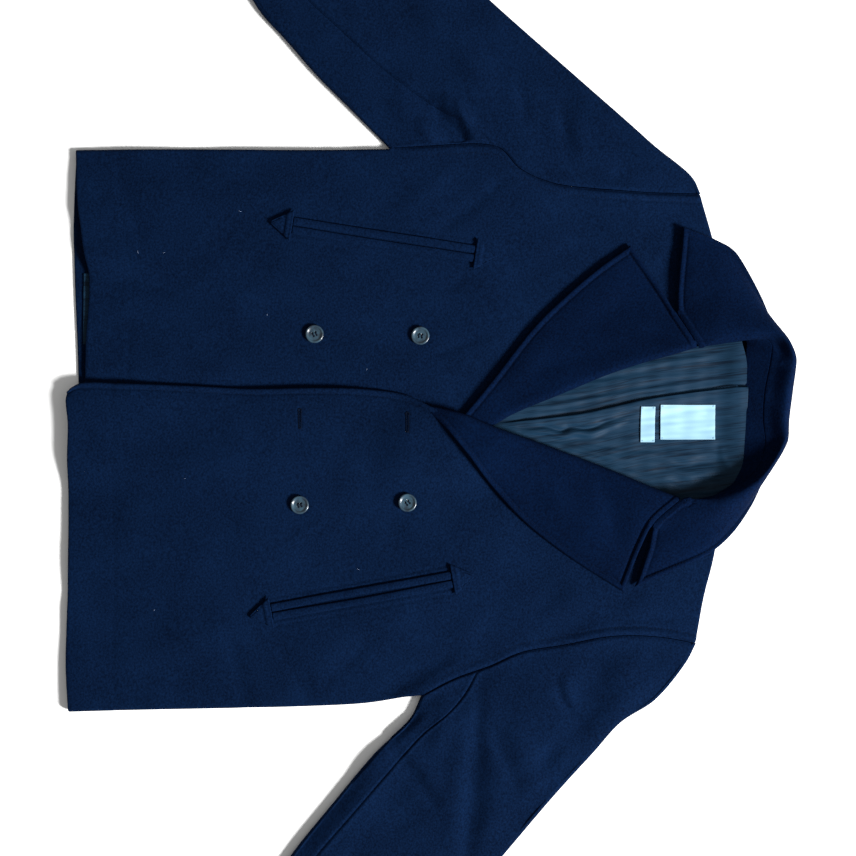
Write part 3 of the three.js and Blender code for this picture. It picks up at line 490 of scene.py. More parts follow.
def line_distance(points, line):
    """Distance in space from grid points to the nearest place of a line of points."""
    nearest = np.full(points.shape[:-1], np.inf)
    for start, end in zip(line[:-1], line[1:]):
        along = end - start
        length = float(along @ along)
        if length < 1e-8:
            continue
        share = np.clip(((points - start) @ along) / length, 0, 1)
        nearest = np.minimum(nearest, np.linalg.norm(points - start - share[..., None] * along, axis=-1))
    return nearest


def border(grid, side):
    """One border line of a grid, thinned to at most about 120 points."""
    line = {"left": grid[:, 0], "right": grid[:, -1], "bottom": grid[0], "top": grid[-1]}[side]
    keep = np.unique(np.round(np.linspace(0, len(line) - 1, min(len(line), 120))).astype(int))
    return line[keep]


def edge_distance(grid, sides):
    """Distance of each grid point from the nearest of the named borders."""
    nearest = np.full(grid.shape[:-1], np.inf)
    for side in sides:
        nearest = np.minimum(nearest, line_distance(grid, border(grid, side)))
    return nearest


def stitched_edge(distance, fullness=0.6):
    """Relief by a topstitched edge: a full rim, and a groove where the thread draws the cloth in."""
    rim = 1.5 * fullness * smoothstep(distance / 2.2) * (1 - smoothstep((distance - STITCH_IN + 3.4) / 3.4))
    groove = -1.0 * np.exp(-((distance - STITCH_IN) / 1.3) ** 2)
    beyond = -0.45 * np.exp(-((distance - STITCH_IN - 2) / 5.0) ** 2)
    return rim + groove + beyond


def seam_relief(distance, ridge):
    """Relief by a pressed seam: the join lies low and the turned allowance beside it lies high."""
    return -1.4 * np.exp(-(distance / 1.8) ** 2) + 1.5 * ridge * np.exp(-((distance - 5) / 3.2) ** 2)


def to_frame(points):
    """Points of the coat's plan in mm, turned to metres in the frame's place."""
    placed = np.asarray(points, float) * MM + PLAN_SHIFT
    placed[..., 2] = np.maximum(placed[..., 2], 0)
    return placed


def facing_out(points, triangles):
    """Triangles turned so that a closed form's faces point out."""
    a, b, c = (points[triangles[:, k]] for k in range(3))
    if np.einsum("ij,ij->i", a, np.cross(b, c)).sum() < 0:
        return triangles[:, ::-1]
    return triangles


def add_mesh(name, points, triangles, material, uv=None):
    """A smooth mesh object on the body, from points in mm and triangles."""
    mesh = bpy.data.meshes.new(name)
    mesh.from_pydata(to_frame(points).tolist(), [], triangles.tolist())
    mesh.polygons.foreach_set("use_smooth", np.ones(len(triangles), bool))
    mesh.update()
    if uv is not None:
        layer = mesh.uv_layers.new(name="cloth")
        corners = np.empty(len(mesh.loops), np.int32)
        mesh.loops.foreach_get("vertex_index", corners)
        layer.data.foreach_set("uv", (uv[corners] * MM).astype(np.float32).ravel())
    mesh.materials.append(material)
    obj = bpy.data.objects.new(name, mesh)
    bpy.context.scene.collection.objects.link(obj)
    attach(obj, "root")
    return obj


def grid_triangles(index):
    """Two triangles for each cell of a grid of vertex numbers."""
    a, b, c, d = index[:-1, :-1], index[:-1, 1:], index[1:, 1:], index[1:, :-1]
    return np.concatenate([np.stack([a, b, c], -1).reshape(-1, 3), np.stack([a, c, d], -1).reshape(-1, 3)])


def rim_triangles(fine, coarse):
    """Strip between a border with twice the cells and the border behind it."""
    start, middle, end = fine[:-2:2], fine[1:-1:2], fine[2::2]
    near, far = coarse[:-1], coarse[1:]
    return np.concatenate([np.stack([start, near, middle], -1), np.stack([middle, near, far], -1),
                           np.stack([middle, far, end], -1)])


def cloth_wall(name, face, thickness, facing, material, soft_sides, uv=None, free=1.0):
    """Closed wall of cloth behind a grid of face points, its free borders rounded as cloth edges are."""
    normal = grid_normals(face, facing)
    thickness = np.broadcast_to(np.asarray(thickness, float), face.shape[:2])
    drop = np.zeros(face.shape[:2])
    if soft_sides:
        distance = edge_distance(face, soft_sides)
        radius = np.maximum(thickness * 0.5, 0.05)
        drop = 0.94 * edge_drop(distance / radius, 1.0) * radius * free
    outer = face - normal * drop[..., None]
    inner = (face - normal * (thickness - drop)[..., None])[::2, ::2]
    rows, columns = face.shape[:2]
    outer_index = np.arange(rows * columns).reshape(rows, columns)
    inner_index = outer_index.size + np.arange(inner.shape[0] * inner.shape[1]).reshape(inner.shape[:2])
    triangles = [grid_triangles(outer_index), grid_triangles(inner_index)[:, ::-1]]
    for pick, turned in ((0, False), (-1, True)):
        for fine, coarse, flip in ((outer_index[pick], inner_index[pick], turned),
                                   (outer_index[:, pick], inner_index[:, pick], not turned)):
            strip = rim_triangles(fine, coarse)
            triangles.append(strip[:, ::-1] if flip else strip)
    points = np.concatenate([outer.reshape(-1, 3), inner.reshape(-1, 3)])
    points[:, 2] = np.maximum(points[:, 2], 0)
    triangles = facing_out(points, np.concatenate(triangles))
    if uv is not None:
        uv = np.concatenate([uv.reshape(-1, 2), uv[::2, ::2].reshape(-1, 2)])
    obj = add_mesh(f"{name}_cloth", points, triangles, material, uv)
    SURFACES[name] = (outer, normal)
    return obj


# Face grids that later pieces, such as the stitching and the nap, are laid on
SURFACES = {}


def rods(paths, radius, sides=5):
    """Closed thin rods along lists of points: vertices and triangles of all of them."""
    points, triangles, offset = [], [], 0
    for path in paths:
        path = np.asarray(path, float)
        slope = np.gradient(path, axis=0)
        slope /= np.maximum(np.linalg.norm(slope, axis=1, keepdims=True), 1e-9)
        aside = np.cross(slope, [0.03, 0.05, 1.0])
        aside /= np.maximum(np.linalg.norm(aside, axis=1, keepdims=True), 1e-9)
        up = np.cross(aside, slope)
        turn = np.linspace(0, 2 * math.pi, sides, endpoint=False)
        taper = np.ones(len(path))
        taper[[0, -1]] = 0.45
        ring = np.cos(turn)[None, :, None] * aside[:, None] + np.sin(turn)[None, :, None] * up[:, None]
        tube = path[:, None] + ring * (radius * taper)[:, None, None]
        index = offset + np.arange(tube.shape[0] * sides).reshape(tube.shape[0], sides)
        closed = np.hstack([index, index[:, :1]])
        first, last = offset + index.size, offset + index.size + 1
        caps = [np.stack([np.full(sides, first), closed[0, 1:], closed[0, :-1]], -1),
                np.stack([np.full(sides, last), closed[-1, :-1], closed[-1, 1:]], -1)]
        points.extend([tube.reshape(-1, 3), path[:1], path[-1:]])
        triangles.extend([grid_triangles(closed), *caps])
        offset += index.size + 2
    return np.concatenate(points), np.concatenate(triangles)


# Colours and materials

def linear(code):
    """An sRGB hex colour as linear red, green and blue."""
    parts = [int(code[k:k + 2], 16) / 255 for k in (1, 3, 5)]
    return tuple(c / 12.92 if c <= 0.04045 else ((c + 0.055) / 1.055) ** 2.4 for c in parts)


def add_node(tree, kind, inputs=None, **settings):
    """A shader node with its settings and input values; an input given as a socket is linked."""
    node = tree.nodes.new(kind)
    for name, value in settings.items():
        setattr(node, name, value)
    for name, value in (inputs or {}).items():
        if isinstance(value, bpy.types.NodeSocket):
            tree.links.new(value, node.inputs[name])
        else:
            node.inputs[name].default_value = value
    return node


def new_material(name, colour, roughness, ior=1.5, **values):
    """A material with one principled shader, its uniform values set on the shader's own sockets."""
    material = bpy.data.materials.new(name)
    material.use_nodes = True
    shader = material.node_tree.nodes["Principled BSDF"]
    shader.inputs["Base Color"].default_value = (*colour, 1)
    shader.inputs["Roughness"].default_value = roughness
    shader.inputs["IOR"].default_value = ior
    for socket, value in values.items():
        shader.inputs[socket.replace("_", " ")].default_value = value
    return material, material.node_tree, shader


def mixed(tree, factor, first, second):
    """Colour socket between two linear colours."""
    ramp = add_node(tree, "ShaderNodeValToRGB", {"Fac": factor})
    ramp.color_ramp.elements[0].color = (*first, 1)
    ramp.color_ramp.elements[1].color = (*second, 1)
    return ramp


def noise(tree, place, size_mm, detail=3.0, roughness=0.55):
    """Noise socket with features of about the given size."""
    return add_node(tree, "ShaderNodeTexNoise", {
        "Vector": place, "Scale": 1 / (size_mm * MM), "Detail": detail, "Roughness": roughness,
    }).outputs["Fac"]


def bump(tree, shader, height, depth_mm, strength=1.0):
    """Bump of a real depth on a shader."""
    node = add_node(tree, "ShaderNodeBump", {
        "Height": height, "Distance": depth_mm * MM, "Strength": strength})
    tree.links.new(node.outputs["Normal"], shader.inputs["Normal"])


def wool_material(name, shade, colours):
    """Melton: wool woven, then fulled and brushed, so that a felted nap hides the weave.
    The eye gets a dull dark cloth with a soft pale bloom at grazing angles and a fine uneven grain."""
    material, tree, shader = new_material(
        name, [c * k for c, k in zip(colours.wool, shade)], 0.94, 1.5,
        Sheen_Weight=0.035, Sheen_Roughness=0.4, Sheen_Tint=(*colours.wool_bloom, 1),
        Specular_IOR_Level=0.03)
    place = add_node(tree, "ShaderNodeTexCoord").outputs["Object"]
    # Clouds of 45 mm from the brushing, and tufts of 2.2 mm, the finest that the photo's scale shows
    clouds = noise(tree, place, 60, 2.0)
    tufts = noise(tree, place, 2.2, 4.0, 0.65)
    blend = add_node(tree, "ShaderNodeMath", {0: clouds, 1: 0.25, 2: tufts},
                     operation="MULTIPLY_ADD").outputs[0]
    # The colour follows the clouds and the tufts: the clouds are the wool's own uneven tone, while the darker navy
    # between the tufts and the lighter navy on them follow the bump and are painted shade and painted light
    deep, lit = ([c * k for c, k in zip(colour, shade)] for colour in (colours.wool_deep, colours.wool_lit))
    ramp = mixed(tree, blend, deep, lit)
    ramp.color_ramp.elements[0].position = 0.42
    ramp.color_ramp.elements[1].position = 0.84
    tree.links.new(ramp.outputs["Color"], shader.inputs["Base Color"])
    bump(tree, shader, tufts, 0.35, 0.8)
    return material


def lining_material(colours):
    """Twill lining: filament yarn woven on the slant with tonal streaks, calendered smooth.
    The eye gets a cool dark cloth with fine uneven streaks that run along it, and a faint gloss."""
    material, tree, shader = new_material(
        "viscose_twill_woven_streaked", colours.lining, 0.5, 1.5, Specular_IOR_Level=0.1)
    place = add_node(tree, "ShaderNodeUVMap", uv_map="cloth").outputs["UV"]
    # Streaks of yarn are drawn out to 22 times their width along the cloth
    drawn = add_node(tree, "ShaderNodeMapping", {"Vector": place, "Scale": (1, 1 / 22, 1)}).outputs["Vector"]
    broad = noise(tree, drawn, 4.5, 2.0)
    fine = noise(tree, drawn, 1.3, 2.0, 0.6)
    both = add_node(tree, "ShaderNodeMath", {0: fine, 1: 0.9, 2: broad}, operation="MULTIPLY_ADD")
    ramp = mixed(tree, both.outputs[0], colours.lining_deep, colours.lining)
    ramp.color_ramp.elements[0].position = 0.7
    ramp.color_ramp.elements[1].position = 1.15
    tree.links.new(ramp.outputs["Color"], shader.inputs["Base Color"])
    bump(tree, shader, fine, 0.25, 0.7)
    return material


def label_material(colours):
    """Woven satin label: fine pale polyester yarn, damask woven and heat cut.
    The eye gets a flat near-white face with a slight ribbed gloss."""
    material, tree, shader = new_material(
        "polyester_satin_damask_woven", colours.label, 0.5, 1.5, Specular_IOR_Level=0.5)
    place = add_node(tree, "ShaderNodeTexCoord").outputs["Object"]
    # Ribs of 1.2 mm: the real ones of 0.2 mm would be too fine to show
    ribs = add_node(tree, "ShaderNodeTexWave", {"Vector": place, "Scale": 0.314 / (1.2 * MM)},
                    bands_direction="Y").outputs["Fac"]
    bump(tree, shader, ribs, 0.05, 0.5)
    return material


def button_material(colours):
    """Button blank of polyester resin, cast with a horn-like cloud, then turned and polished.
    The eye gets a dark blue-grey disc with soft streaks and a bright line on its rim."""
    material, tree, shader = new_material(
        "polyester_resin_cast_and_turned", colours.button, 0.3, 1.56, Coat_Weight=0.35,
        Coat_Roughness=0.18)
    place = add_node(tree, "ShaderNodeTexCoord").outputs["Object"]
    ramp = mixed(tree, noise(tree, place, 7, 3.0), colours.button_deep, colours.button)
    ramp.color_ramp.elements[0].position = 0.35
    ramp.color_ramp.elements[1].position = 0.62
    tree.links.new(ramp.outputs["Color"], shader.inputs["Base Color"])
    return material


def thread_material(name, colour):
    """Spun polyester sewing thread, twisted and dyed. The eye gets a fine dark line."""
    material, tree, shader = new_material(name, colour, 0.8, 1.5, Specular_IOR_Level=0.08)
    place = add_node(tree, "ShaderNodeTexCoord").outputs["Object"]
    bump(tree, shader, noise(tree, place, 0.5, 2.0), 0.08, 0.6)
    return material


def floor_material(colours):
    """Studio board, painted matt white. The eye gets an even pale ground."""
    material, tree, shader = new_material("painted_board_matt", colours.floor, 0.9, 1.45)
    place = add_node(tree, "ShaderNodeTexCoord").outputs["Object"]
    bump(tree, shader, noise(tree, place, 30, 2.0), 0.05, 0.2)
    return material


# Face grids of the cloth pieces

def back_face(step):
    """Underside of the back, curled up at the sides and shoulders."""
    left = in_turn(smooth_path(RIGHT_SIDE), smooth_path(RIGHT_ARMHOLE), SIDE_SHARE)
    right = in_turn(smooth_path(LEFT_SIDE), smooth_path(LEFT_ARMHOLE), SIDE_SHARE)
    neck_start, neck_end, length = 0.28, 0.68, 700
    top = in_turn(in_turn(smooth_path(RIGHT_SHOULDER), smooth_path(BACK_NECK), neck_start / neck_end),
                  smooth_path(LEFT_SHOULDER[::-1]), neck_end)
    v = spaced(length, step, "edge", "seam")[0] / length
    width = np.linalg.norm(left(v) - right(v), axis=1)
    u = spaced(width, step, "seam", "seam") / width[:, None]
    v = np.broadcast_to(v[:, None], u.shape)
    plan = patch(left, right, smooth_path(BACK_HEM), top)(u, v)
    side = np.minimum(u, 1 - u) * width[:, None]
    z = np.where(v <= SIDE_SHARE, edge_drop(side, SIDE_ROUND), 0)
    on_shoulder = (u < neck_start) | (u > neck_end)
    z = np.where(on_shoulder, np.maximum(z, edge_drop((1 - v) * length, SIDE_ROUND)), z)
    z = z + np.maximum(fold_height(BACK_FOLDS, plan[..., 0], plan[..., 1]), 0)
    return np.concatenate([plan, z[..., None]], -1)


def inset_roll(side):
    """Fold line moved towards the panel, where the lapel's roll is centred."""
    roll = smooth_path(RIGHT_ROLL if side == "right" else LEFT_ROLL)
    towards = -1 if side == "right" else 1

    def read(t):
        t = np.clip(np.asarray(t, float), 0, 1)
        along = roll(np.minimum(t + 0.01, 1)) - roll(np.maximum(t - 0.01, 0))
        along = along / np.linalg.norm(along, axis=-1, keepdims=True)
        across = np.stack([-along[..., 1], along[..., 0]], -1)
        across = across * np.where(np.sign(across[..., :1]) == towards, 1, -1)
        return roll(t) + across * (ROLL_INSET * smoothstep(t / 0.1))[..., None]
    return read


def pocket_place(side, x, y):
    """Places along and across a pocket's slit of plan points, and its length."""
    (x0, y0), (x1, y1) = POCKETS[side]
    length = math.hypot(x1 - x0, y1 - y0)
    dx, dy = (x1 - x0) / length, (y1 - y0) / length
    return (x - x0) * dx + (y - y0) * dy, (y - y0) * dx - (x - x0) * dy, length


def pocket_point(side, along, across):
    """Plan point at a place along and across a pocket's slit."""
    (x0, y0), (x1, y1) = POCKETS[side]
    length = math.hypot(x1 - x0, y1 - y0)
    dx, dy = (x1 - x0) / length, (y1 - y0) / length
    return x0 + along * dx - across * dy, y0 + along * dy + across * dx


FRAME_STITCH = 15.5


def pocket_relief(side, x, y):
    """The front lies lower by a pocket's sewing: a frame of stitching round the jets."""
    along, across, length = pocket_place(side, x, y)
    inside = smoothstep((along + 4) / 4) * smoothstep((length + 4 - along) / 4)
    frame_line = -0.95 * np.exp(-((np.abs(across) - FRAME_STITCH) / 1.3) ** 2)
    jet_line = -0.9 * np.exp(-((np.abs(across) - JET_WIDTH - 0.8) / 1.2) ** 2)
    full = 0.5 * np.exp(-((np.abs(across) - (FRAME_STITCH + JET_WIDTH) / 2 - 0.4) / 1.6) ** 2)
    return (frame_line + jet_line + full) * inside


def front_surface(side, x, y):
    """Height of a front's face with what is sewn into it, away from its edges."""
    height = front_top(side, x, y) + pocket_relief(side, x, y)
    if side == "left":
        for eye, end, place in BUTTONHOLES:
            distance = segment_distance(x, y, eye, place, end, place)[0]
            height = height - 1.0 * np.exp(-(distance / 1.5) ** 2) + 0.45 * np.exp(-((distance - 3) / 1.5) ** 2)
    for _, bx, by, button_side, _ in BUTTONS:
        if button_side == side:
            height = height - 0.9 * np.exp(-(np.hypot(x - bx, y - by) / 11) ** 4)
    return height


def front_face(side, step):
    """Front panel from its side seam to its front edge and lapel fold."""
    right = side == "right"
    seam = in_turn(smooth_path(RIGHT_SIDE if right else LEFT_SIDE),
                   smooth_path(RIGHT_ARMHOLE if right else LEFT_ARMHOLE), SIDE_SHARE)
    edge = smooth_path(RIGHT_FRONT_EDGE if right else LEFT_FRONT_EDGE)
    neck = smooth_path(RIGHT_NECK if right else LEFT_NECK)
    edge_share, roll_share, length = 0.53, 0.93, 700
    opening = in_turn(in_turn(edge, inset_roll(side), edge_share / roll_share), neck, roll_share)
    shoulder = smooth_path(RIGHT_SHOULDER if right else LEFT_SHOULDER)
    v = spaced(length, step, "edge", "seam")[0] / length
    width = np.linalg.norm(seam(v) - opening(v), axis=1)
    u = spaced(width, step, "seam", "edge") / width[:, None]
    v = np.broadcast_to(v[:, None], u.shape)
    plan = patch(seam, opening, smooth_path(RIGHT_HEM if right else LEFT_HEM), shoulder)(u, v)
    x, y = plan[..., 0], plan[..., 1]
    side_drop = np.where(v <= SIDE_SHARE, edge_drop(u * width[:, None], SIDE_ROUND), 0)
    shoulder_drop = edge_drop((1 - v) * length, SIDE_ROUND)
    z = front_surface(side, x, y) - np.maximum(side_drop, shoulder_drop)
    # The side seam is pressed flat, the armhole's allowance is turned to the body and topstitched
    seam_distance = u * width[:, None]
    armhole = smoothstep((v - SIDE_SHARE) / 0.04)
    ridge = 0.25 + 0.75 * smoothstep((v - 0.72) / 0.2)
    z = z + armhole * seam_relief(seam_distance, ridge)
    z = z - armhole * 0.8 * ridge * np.exp(-((seam_distance - 9.5) / 1.5) ** 2)
    # The front edge is topstitched as far as the lapel's break; the hem is turned up and felled
    edge_distance_plan = (1 - u) * width[:, None]
    z = z + stitched_edge(edge_distance_plan, 0.7) * (1 - smoothstep((v - edge_share + 0.01) / 0.04))
    hem = v * length
    z = z + 0.4 * smoothstep(hem / 3) * (1 - smoothstep((hem - 8) / 30)) \
        - 0.35 * np.exp(-((hem - 47) / 3.0) ** 2)
    return np.concatenate([plan, z[..., None]], -1)


def lapel_top(side, x, y):
    """Height of a lapel's face over its front."""
    folds = RIGHT_LAPEL_FOLDS if side == "right" else LEFT_LAPEL_FOLDS
    return front_top(side, x, y) + LAPEL_CLEAR + 4.4 + fold_height(folds, x, y)


def gorge(side):
    """Points of the seam that joins collar and lapel, from the fold to the notch."""
    top = smooth_path(RIGHT_LAPEL_TOP if side == "right" else LEFT_LAPEL_TOP)
    shares = np.linspace(0, 1, 200)
    notch = shares[np.argmin(np.linalg.norm(top(shares) - np.array(NOTCHES[side]), axis=1))]
    return top(np.linspace(0, notch, 30))


def gorge_relief(side, x, y):
    """Relief of the pressed gorge seam, and how free of it each place is, from 0 to 1."""
    distance = plan_distance(gorge(side), x, y)
    relief = 0.35 * np.exp(-((distance - 5) / 4) ** 2) - 0.7 * np.exp(-(distance / 1.5) ** 2)
    return relief, smoothstep((distance - 2.5) / 7)


def joined(grid, side):
    """Collar grid with its end brought onto the lapel's top edge between the fold and the notch."""
    rows = grid.copy() if side == "right" else grid[::-1].copy()
    share = np.linspace(0, 1, grid.shape[1])
    seam = gorge(side)
    along = seam[-1] - seam[0]
    aside = np.array([-along[1], along[0]]) / np.linalg.norm(along)
    aside = aside * np.sign(aside[1]) * 0.25
    at = np.clip(share, 0.5, 0.75)
    target = np.stack([np.interp((at - 0.5) / 0.25, np.linspace(0, 1, 30), seam[:, axis]) + aside[axis]
                       for axis in (0, 1)], -1)
    height = lapel_top(side, target[:, 0], target[:, 1])
    target = np.concatenate([target, height[:, None]], -1)
    now = np.stack([np.interp(at, share, rows[0, :, axis]) for axis in range(3)], -1)
    pull = smoothstep((share - 0.3) / 0.2) * smoothstep((0.86 - share) / 0.11)
    reach = np.linalg.norm(rows - rows[:1], axis=-1)
    rows += ((target - now) * pull[:, None])[None] * (1 - smoothstep(reach / 34))[..., None]
    return rows if side == "right" else rows[::-1]


def lapel_face(side, step):
    """Lapel from its rolled fold to its free edge, and the share of full thickness at each point."""
    right = side == "right"
    roll = smooth_path(RIGHT_ROLL if right else LEFT_ROLL)
    free = smooth_path(RIGHT_LAPEL_EDGE if right else LEFT_LAPEL_EDGE)
    top = smooth_path(RIGHT_LAPEL_TOP if right else LEFT_LAPEL_TOP)
    start = np.float64(0)
    plan_at = patch(roll, free, lambda t: roll(start) + (free(start) - roll(start)) * np.asarray(t)[..., None], top)
    length = 320
    v = 0.02 + 0.978 * spaced(length, step, "cut", "edge")[0] / length
    width = np.linalg.norm(roll(v) - free(v), axis=1)
    d = spaced(width, step, "roll", "edge")
    u = d / width[:, None]
    v = np.broadcast_to(v[:, None], u.shape)
    plan = plan_at(u, v)
    x, y = plan[..., 0], plan[..., 1]
    radius = np.maximum(np.minimum(0.16 * width, ROLL_ROUND), 1)[:, None]
    drop = edge_drop(d / radius, 1.0) * ROLL_ROUND
    rise = smoothstep((v - 0.005) / 0.15)
    z = front_top(side, x, y) + (lapel_top(side, x, y) - front_top(side, x, y)) * rise \
        - 0.6 * (1 - rise) ** 4 - drop * (0.1 + 0.9 * rise)
    # The free edge stands off the front above the break, most on the left side
    lift_height, lift_at = (0.2, 0.3) if right else (2.8, 0.24)
    free_edge = 1 - smoothstep((width[:, None] - d) / np.maximum(0.6 * width[:, None], 8))
    z = z + lift_height * np.exp(-((v - lift_at) / 0.2) ** 2) * free_edge * rise
    face = np.concatenate([plan, z[..., None]], -1)
    distance = edge_distance(face, ["right", "top"])
    relief, free = gorge_relief(side, x, y)
    face[..., 2] += stitched_edge(distance, 0.8) * rise * free + relief
    return face, rise, free


def collar_sections():
    """Five control points of the collar's section at each row of the table."""
    sections = []
    for k, (neck, fold, height, edge, rest, tuck) in enumerate(COLLAR):
        before, after = COLLAR[max(0, k - 1)][1], COLLAR[min(len(COLLAR) - 1, k + 1)][1]
        outward = np.array([-(after[1] - before[1]), after[0] - before[0], 0.0])
        outward /= np.linalg.norm(outward)
        fold, neck = np.array([*fold, 0.0]), np.array(neck, float)
        inner, top = fold.copy(), fold + outward * FOLD_ROUND
        inner[2], top[2] = height - FOLD_ROUND, height
        rim = np.array([*edge, rest])
        middle = (top + rim) / 2 + [0, 0, 2.5]
        for end, side in ((0, "right"), (len(COLLAR) - 1, "left")):
            if k == end:
                middle = np.array([*NOTCHES[side], float(lapel_top(side, *NOTCHES[side]))])
        over = [inner, top, middle, rim]
        low = (neck + fold) / 2
        low[2] = height * 0.68
        crest, outermost, under = fold - outward * FOLD_ROUND, fold.copy(), fold - outward * TUCK_LENGTH
        crest[2], outermost[2], under[2] = height, height * 0.45, 0
        below = [low, crest, outermost, under]
        sections.append([neck] + [a + (b - a) * tuck for a, b in zip(over, below)])
    return np.array(sections)


def collar_grid():
    """Whole face of the collar as rows of stations and columns of fine shares of the section."""
    sections = collar_sections()
    padded = np.concatenate([2 * sections[:1] - sections[1:2], sections, 2 * sections[-1:] - sections[-2:-1]])
    stations, tension, last = np.linspace(0, 1, 241), 0.4, len(sections) - 1
    rails = []
    for station in stations:
        k = min(int(station * last), last - 1)
        p0, p1, p2, p3 = padded[k:k + 4]
        rails.append(hermite(p1, p2, tension * (p2 - p0), tension * (p3 - p1), station * last - k))
    grid = []
    for rail in rails:
        ends = np.concatenate([2 * rail[:1] - rail[1:2], rail, 2 * rail[-1:] - rail[-2:-1]])
        parts = [centripetal(ends[k:k + 4], np.linspace(0, 1, 101)[:, None]) for k in range(4)]
        grid.append(np.concatenate([part[:-1] for part in parts] + [parts[-1][-1:]]))
    grid = np.array(grid)
    grid[..., 2] = np.maximum(grid[..., 2], 0)
    return joined(joined(grid, "right"), "left")


def along_lines(grid, places):
    """Grid re-read along its rows at distances from each row's far end."""
    rows = []
    for line, place in zip(grid, places):
        length = np.concatenate([[0], np.cumsum(np.linalg.norm(np.diff(line, axis=0), axis=1))])
        rows.append(np.stack([np.interp(place, length, line[:, axis]) for axis in range(3)], -1))
    return np.array(rows)


def collar_part(grid, first, last, kinds, step):
    """Part of the collar between two shares of its section, with lines spaced by its edges."""
    low, high = int(round(first * 400)), int(round(last * 400))
    part = grid[:, low:high + 1]
    width = np.linalg.norm(np.diff(part, axis=1), axis=2).sum(axis=1)
    part = along_lines(part, spaced(width, step, *kinds))
    turned = np.swapaxes(part, 0, 1)
    length = np.linalg.norm(np.diff(turned, axis=1), axis=2).sum(axis=1)
    return np.swapaxes(along_lines(turned, spaced(length, step, "edge", "edge")), 0, 1)


def sleeve_face(side, half, step):
    """Half of a sleeve as rings: the top half from the floor round the outer edge to the seam on the
    crown, the under half from there round the inner edge."""
    right = side == "right"
    outer = smooth_path(RIGHT_SLEEVE_OUTER if right else LEFT_SLEEVE_OUTER)
    inner = smooth_path(RIGHT_SLEEVE_INNER if right else LEFT_SLEEVE_INNER)
    armhole = smooth_path((RIGHT_ARMHOLE if right else LEFT_ARMHOLE)[::-1])
    apart = np.array([-HEAD_GAP if right else HEAD_GAP, 0.6 * HEAD_GAP])
    end = np.float64(1)
    plan_at = patch(lambda t: outer(t) + apart, lambda t: inner(t) + apart, lambda t: armhole(t) + apart,
                    lambda t: outer(end) + (inner(end) - outer(end)) * np.asarray(t)[..., None] + apart)
    length = 560
    v = spaced(length, step, "seam", "cut")[0] / length
    width = np.linalg.norm(outer(v) - inner(v), axis=1)[:, None]
    gap = SEAM_HALF_GAP
    seam_start, seam_drift = SLEEVE_SEAMS[side]
    floor_at, crown_at = FLOOR_SEAM * width, (seam_start + seam_drift * v[:, None]) * width
    height = BODY_HEIGHT + 1.4 * smoothstep(v / 0.2)[:, None]
    radius = height / 2
    quarter = np.linspace(-0.99, 0.99, 15) * math.pi / 2
    rim = radius * (1 - np.cos(quarter))
    if half == "top":
        crown = rim[:, -1:] + spaced((crown_at - gap - rim[:, -1:])[:, 0], step, "cut", "seam")[:, 1:]
        floor = floor_at - gap - spaced((floor_at - gap - rim[:, :1])[:, 0], step * 3, "cut", "cut")[:, :-1]
        across, on_floor = np.hstack([floor, rim, crown]), floor.shape[1]
    else:
        crown = crown_at + gap + spaced((width - crown_at - gap - rim[:, :1])[:, 0], step, "seam", "cut")[:, :-1]
        floor = width - rim[:, :1] - spaced((width - floor_at - gap - rim[:, :1])[:, 0], step * 3, "cut", "cut")[:, 1:]
        across, on_floor = np.hstack([crown, width - rim[:, ::-1], floor]), floor.shape[1]
    if across.shape[1] % 2 == 0:
        keep = np.ones(across.shape[1], bool)
        keep[3 if half == "top" else -4] = False
        across, on_floor = across[:, keep], on_floor - 1
    ring = quarter if half == "top" else quarter[::-1]
    u = np.clip(across / width, 0, 1)
    rows = np.broadcast_to(v[:, None], u.shape)
    plan = plan_at(u, rows)
    if right:
        # The armhole's bends die away in the cloth, which bulges off the sharp one first
        away, wide = rows * length / BEND_REACH, u[..., None]
        bends = armhole(u) - armhole(np.float64(0)) * (1 - wide) - armhole(end) * wide
        bulge = BULGE * np.exp(-((u - 0.6) / 0.12) ** 2) * away * np.exp(1 - away)
        plan = plan + bends * (np.exp(-away ** 1.3) - 1 + rows)[..., None] + bulge[..., None] * BULGE_WAY
    x, y = plan[..., 0], plan[..., 1]
    inward = np.minimum(across, width - across)
    puff = 1.8 * smoothstep(inward / 30) * smoothstep(rows / 0.12)
    folds = RIGHT_SLEEVE_FOLDS if right else LEFT_SLEEVE_FOLDS
    calm = smoothstep(inward / 7)
    loose = waves(x, y, 21 if right else 22, 110, 1.2) + waves(x, y, 61 if right else 62, 46, 0.35)
    own = height + puff + (fold_height(folds, x, y) + loose) * calm
    # The sleeve head meets the front at the armhole, whatever the creases of either do there
    head = rows * length
    blend = smoothstep(head / 26)
    top = (front_top(side, x, y) * calm + height * (1 - calm)) * (1 - blend) + own * blend
    top = top - 1.1 * np.exp(-(head / 1.6) ** 2) + 0.25 * np.exp(-((head - 5) / 3.0) ** 2)
    if right:
        top = top + fold_height(UNDERARM_FOLDS, x, y) * calm * smoothstep((head - 1) / 5)
        top = HOLLOW_FLOOR + np.logaddexp(0, 3 * (top - HOLLOW_FLOOR)) / 3
    seam = np.abs(across - crown_at)
    relief = -0.8 * np.exp(-(seam / 1.6) ** 2) + (0.6 if half == "top" else 0.25) * np.exp(-((seam - 4.5) / 2.6) ** 2)
    top = top + relief * smoothstep(head / 6)
    cuff = (1 - rows) * length
    top = top - 0.4 * np.exp(-((cuff - 40) / 3.0) ** 2)
    z = top.copy()
    rim_z = radius + radius * np.sin(ring)[None, :]
    if half == "top":
        z[:, :on_floor] = 0
        z[:, on_floor:on_floor + 15] = rim_z
    else:
        z[:, -on_floor:] = 0
        z[:, -on_floor - 15:-on_floor] = rim_z
    return np.concatenate([plan, z[..., None]], -1)


